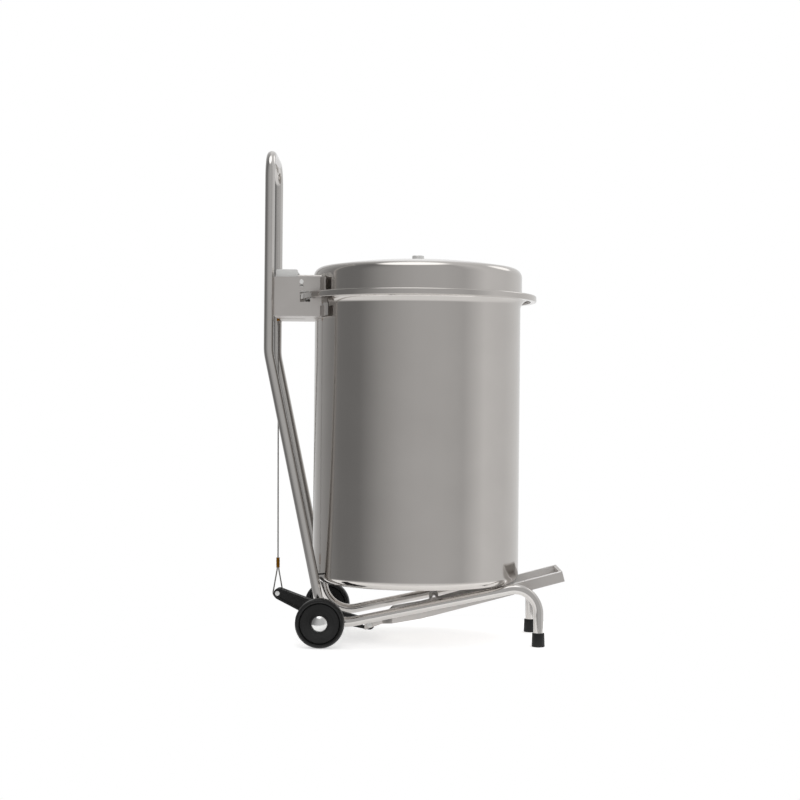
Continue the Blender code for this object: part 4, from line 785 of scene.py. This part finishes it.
share = addNode(tree, "ShaderNodeMapRange", {1: -math.pi, 2: math.pi, 3: 0.0, 4: 1.0},
                {"Value": bearing.outputs[0]})
horizon = addNode(tree, "ShaderNodeValToRGB", links={0: share.outputs[0]})
stops = horizon.color_ramp.elements
while len(stops) < len(room["horizon"]):
    stops.new(0.5)
for stop, (angle, tone) in zip(stops, room["horizon"]):
    stop.position = (angle + 180) / 360
    stop.color = (tone, tone, tone, 1)
low = addNode(tree, "ShaderNodeMapRange", {"interpolation_type": "SMOOTHSTEP", 1: room["lowFrom"],
                                           2: room["lowFull"], 3: 0.0, 4: 1.0}, {"Value": parts["Z"]})
lowMix = addNode(tree, "ShaderNodeMix", {"data_type": "RGBA", 7: [room["below"]] * 3 + [1]},
                 {0: low.outputs[0], 6: horizon.outputs["Color"]})
studio = lowMix.outputs[2]
for panel in room["panels"]:
    facing = addNode(tree, "ShaderNodeVectorMath", {"operation": "DOT_PRODUCT", 1: panel["toward"]},
                     {0: direction})
    share = addNode(tree, "ShaderNodeMapRange", {"interpolation_type": "SMOOTHSTEP", 1: panel["rim"],
                                                 2: panel["full"], 3: 0.0, 4: 1.0},
                    {"Value": facing.outputs["Value"]})
    studio = addNode(tree, "ShaderNodeMix", {"data_type": "RGBA", 7: [panel["tone"]] * 3 + [1]},
                     {0: share.outputs[0], 6: studio}).outputs[2]
path = addNode(tree, "ShaderNodeLightPath").outputs
mirrored = addNode(tree, "ShaderNodeMath", {"operation": "MAXIMUM"}, {0: path["Is Glossy Ray"],
                                                                     1: path["Is Transmission Ray"]})
lit = addNode(tree, "ShaderNodeMix", {"data_type": "RGBA", 6: [room["light"]] * 3 + [1]},
              {0: mirrored.outputs[0], 7: studio})
shown = addNode(tree, "ShaderNodeMix", {"data_type": "RGBA", 7: [1, 1, 1, 1]},
                {0: path["Is Camera Ray"], 6: lit.outputs[2]})
tree.links.new(shown.outputs[2], backdrop.inputs["Color"])

# soft boxes: one high in front, one high behind for the lid's far edge
lamps = [{"name": "frontSoftBox", "at": (0.25, -3.2, 2.9), "size": (2.2, 1.1), "watts": 12.0},
         {"name": "topSoftBox", "at": (0.2, 0.6, 3.6), "size": (2.4, 2.0), "watts": 14.0}]
lampAim = Vector((0, 0, 0.5))
for lamp in lamps:
    light = bpy.data.lights.new(lamp["name"], "AREA")
    light.shape = "RECTANGLE"
    light.size, light.size_y = lamp["size"]
    light.energy = lamp["watts"]
    box = bpy.data.objects.new(lamp["name"], light)
    box.location = lamp["at"]
    box.rotation_mode = "QUATERNION"
    box.rotation_quaternion = (lampAim - box.location).to_track_quat("-Z", "Y")
    box.visible_camera = False
    box.visible_glossy = False
    bpy.context.scene.collection.objects.link(box)
bpy.context.scene.view_settings.view_transform = "Standard"

# camera: level with the bucket's middle, as the photograph was taken
view = {"at": (-0.02737, -3.36374, 0.49160), "lens": 71.49, "sensor": 36.0, "yaw": -0.140, "pitch": 0.188,
        "roll": 0.534}
yaw, pitch, roll = (math.radians(view[key]) for key in ("yaw", "pitch", "roll"))
forward = Vector((math.sin(yaw) * math.cos(pitch), math.cos(yaw) * math.cos(pitch), math.sin(pitch)))
right = Vector((math.cos(yaw), -math.sin(yaw), 0))
upward = right.cross(forward)
turnedRight = right * math.cos(roll) + upward * math.sin(roll)
turnedUp = upward * math.cos(roll) - right * math.sin(roll)
cameraData = bpy.data.cameras.new("photoCamera")
cameraData.lens = view["lens"]
cameraData.sensor_width = view["sensor"]
camera = bpy.data.objects.new("photoCamera", cameraData)
camera.matrix_world = (Matrix.Translation(view["at"])
                       @ Matrix((turnedRight, turnedUp, -forward)).transposed().to_4x4())
bpy.context.scene.collection.objects.link(camera)
bpy.context.scene.camera = camera
print("floor, room and camera set")
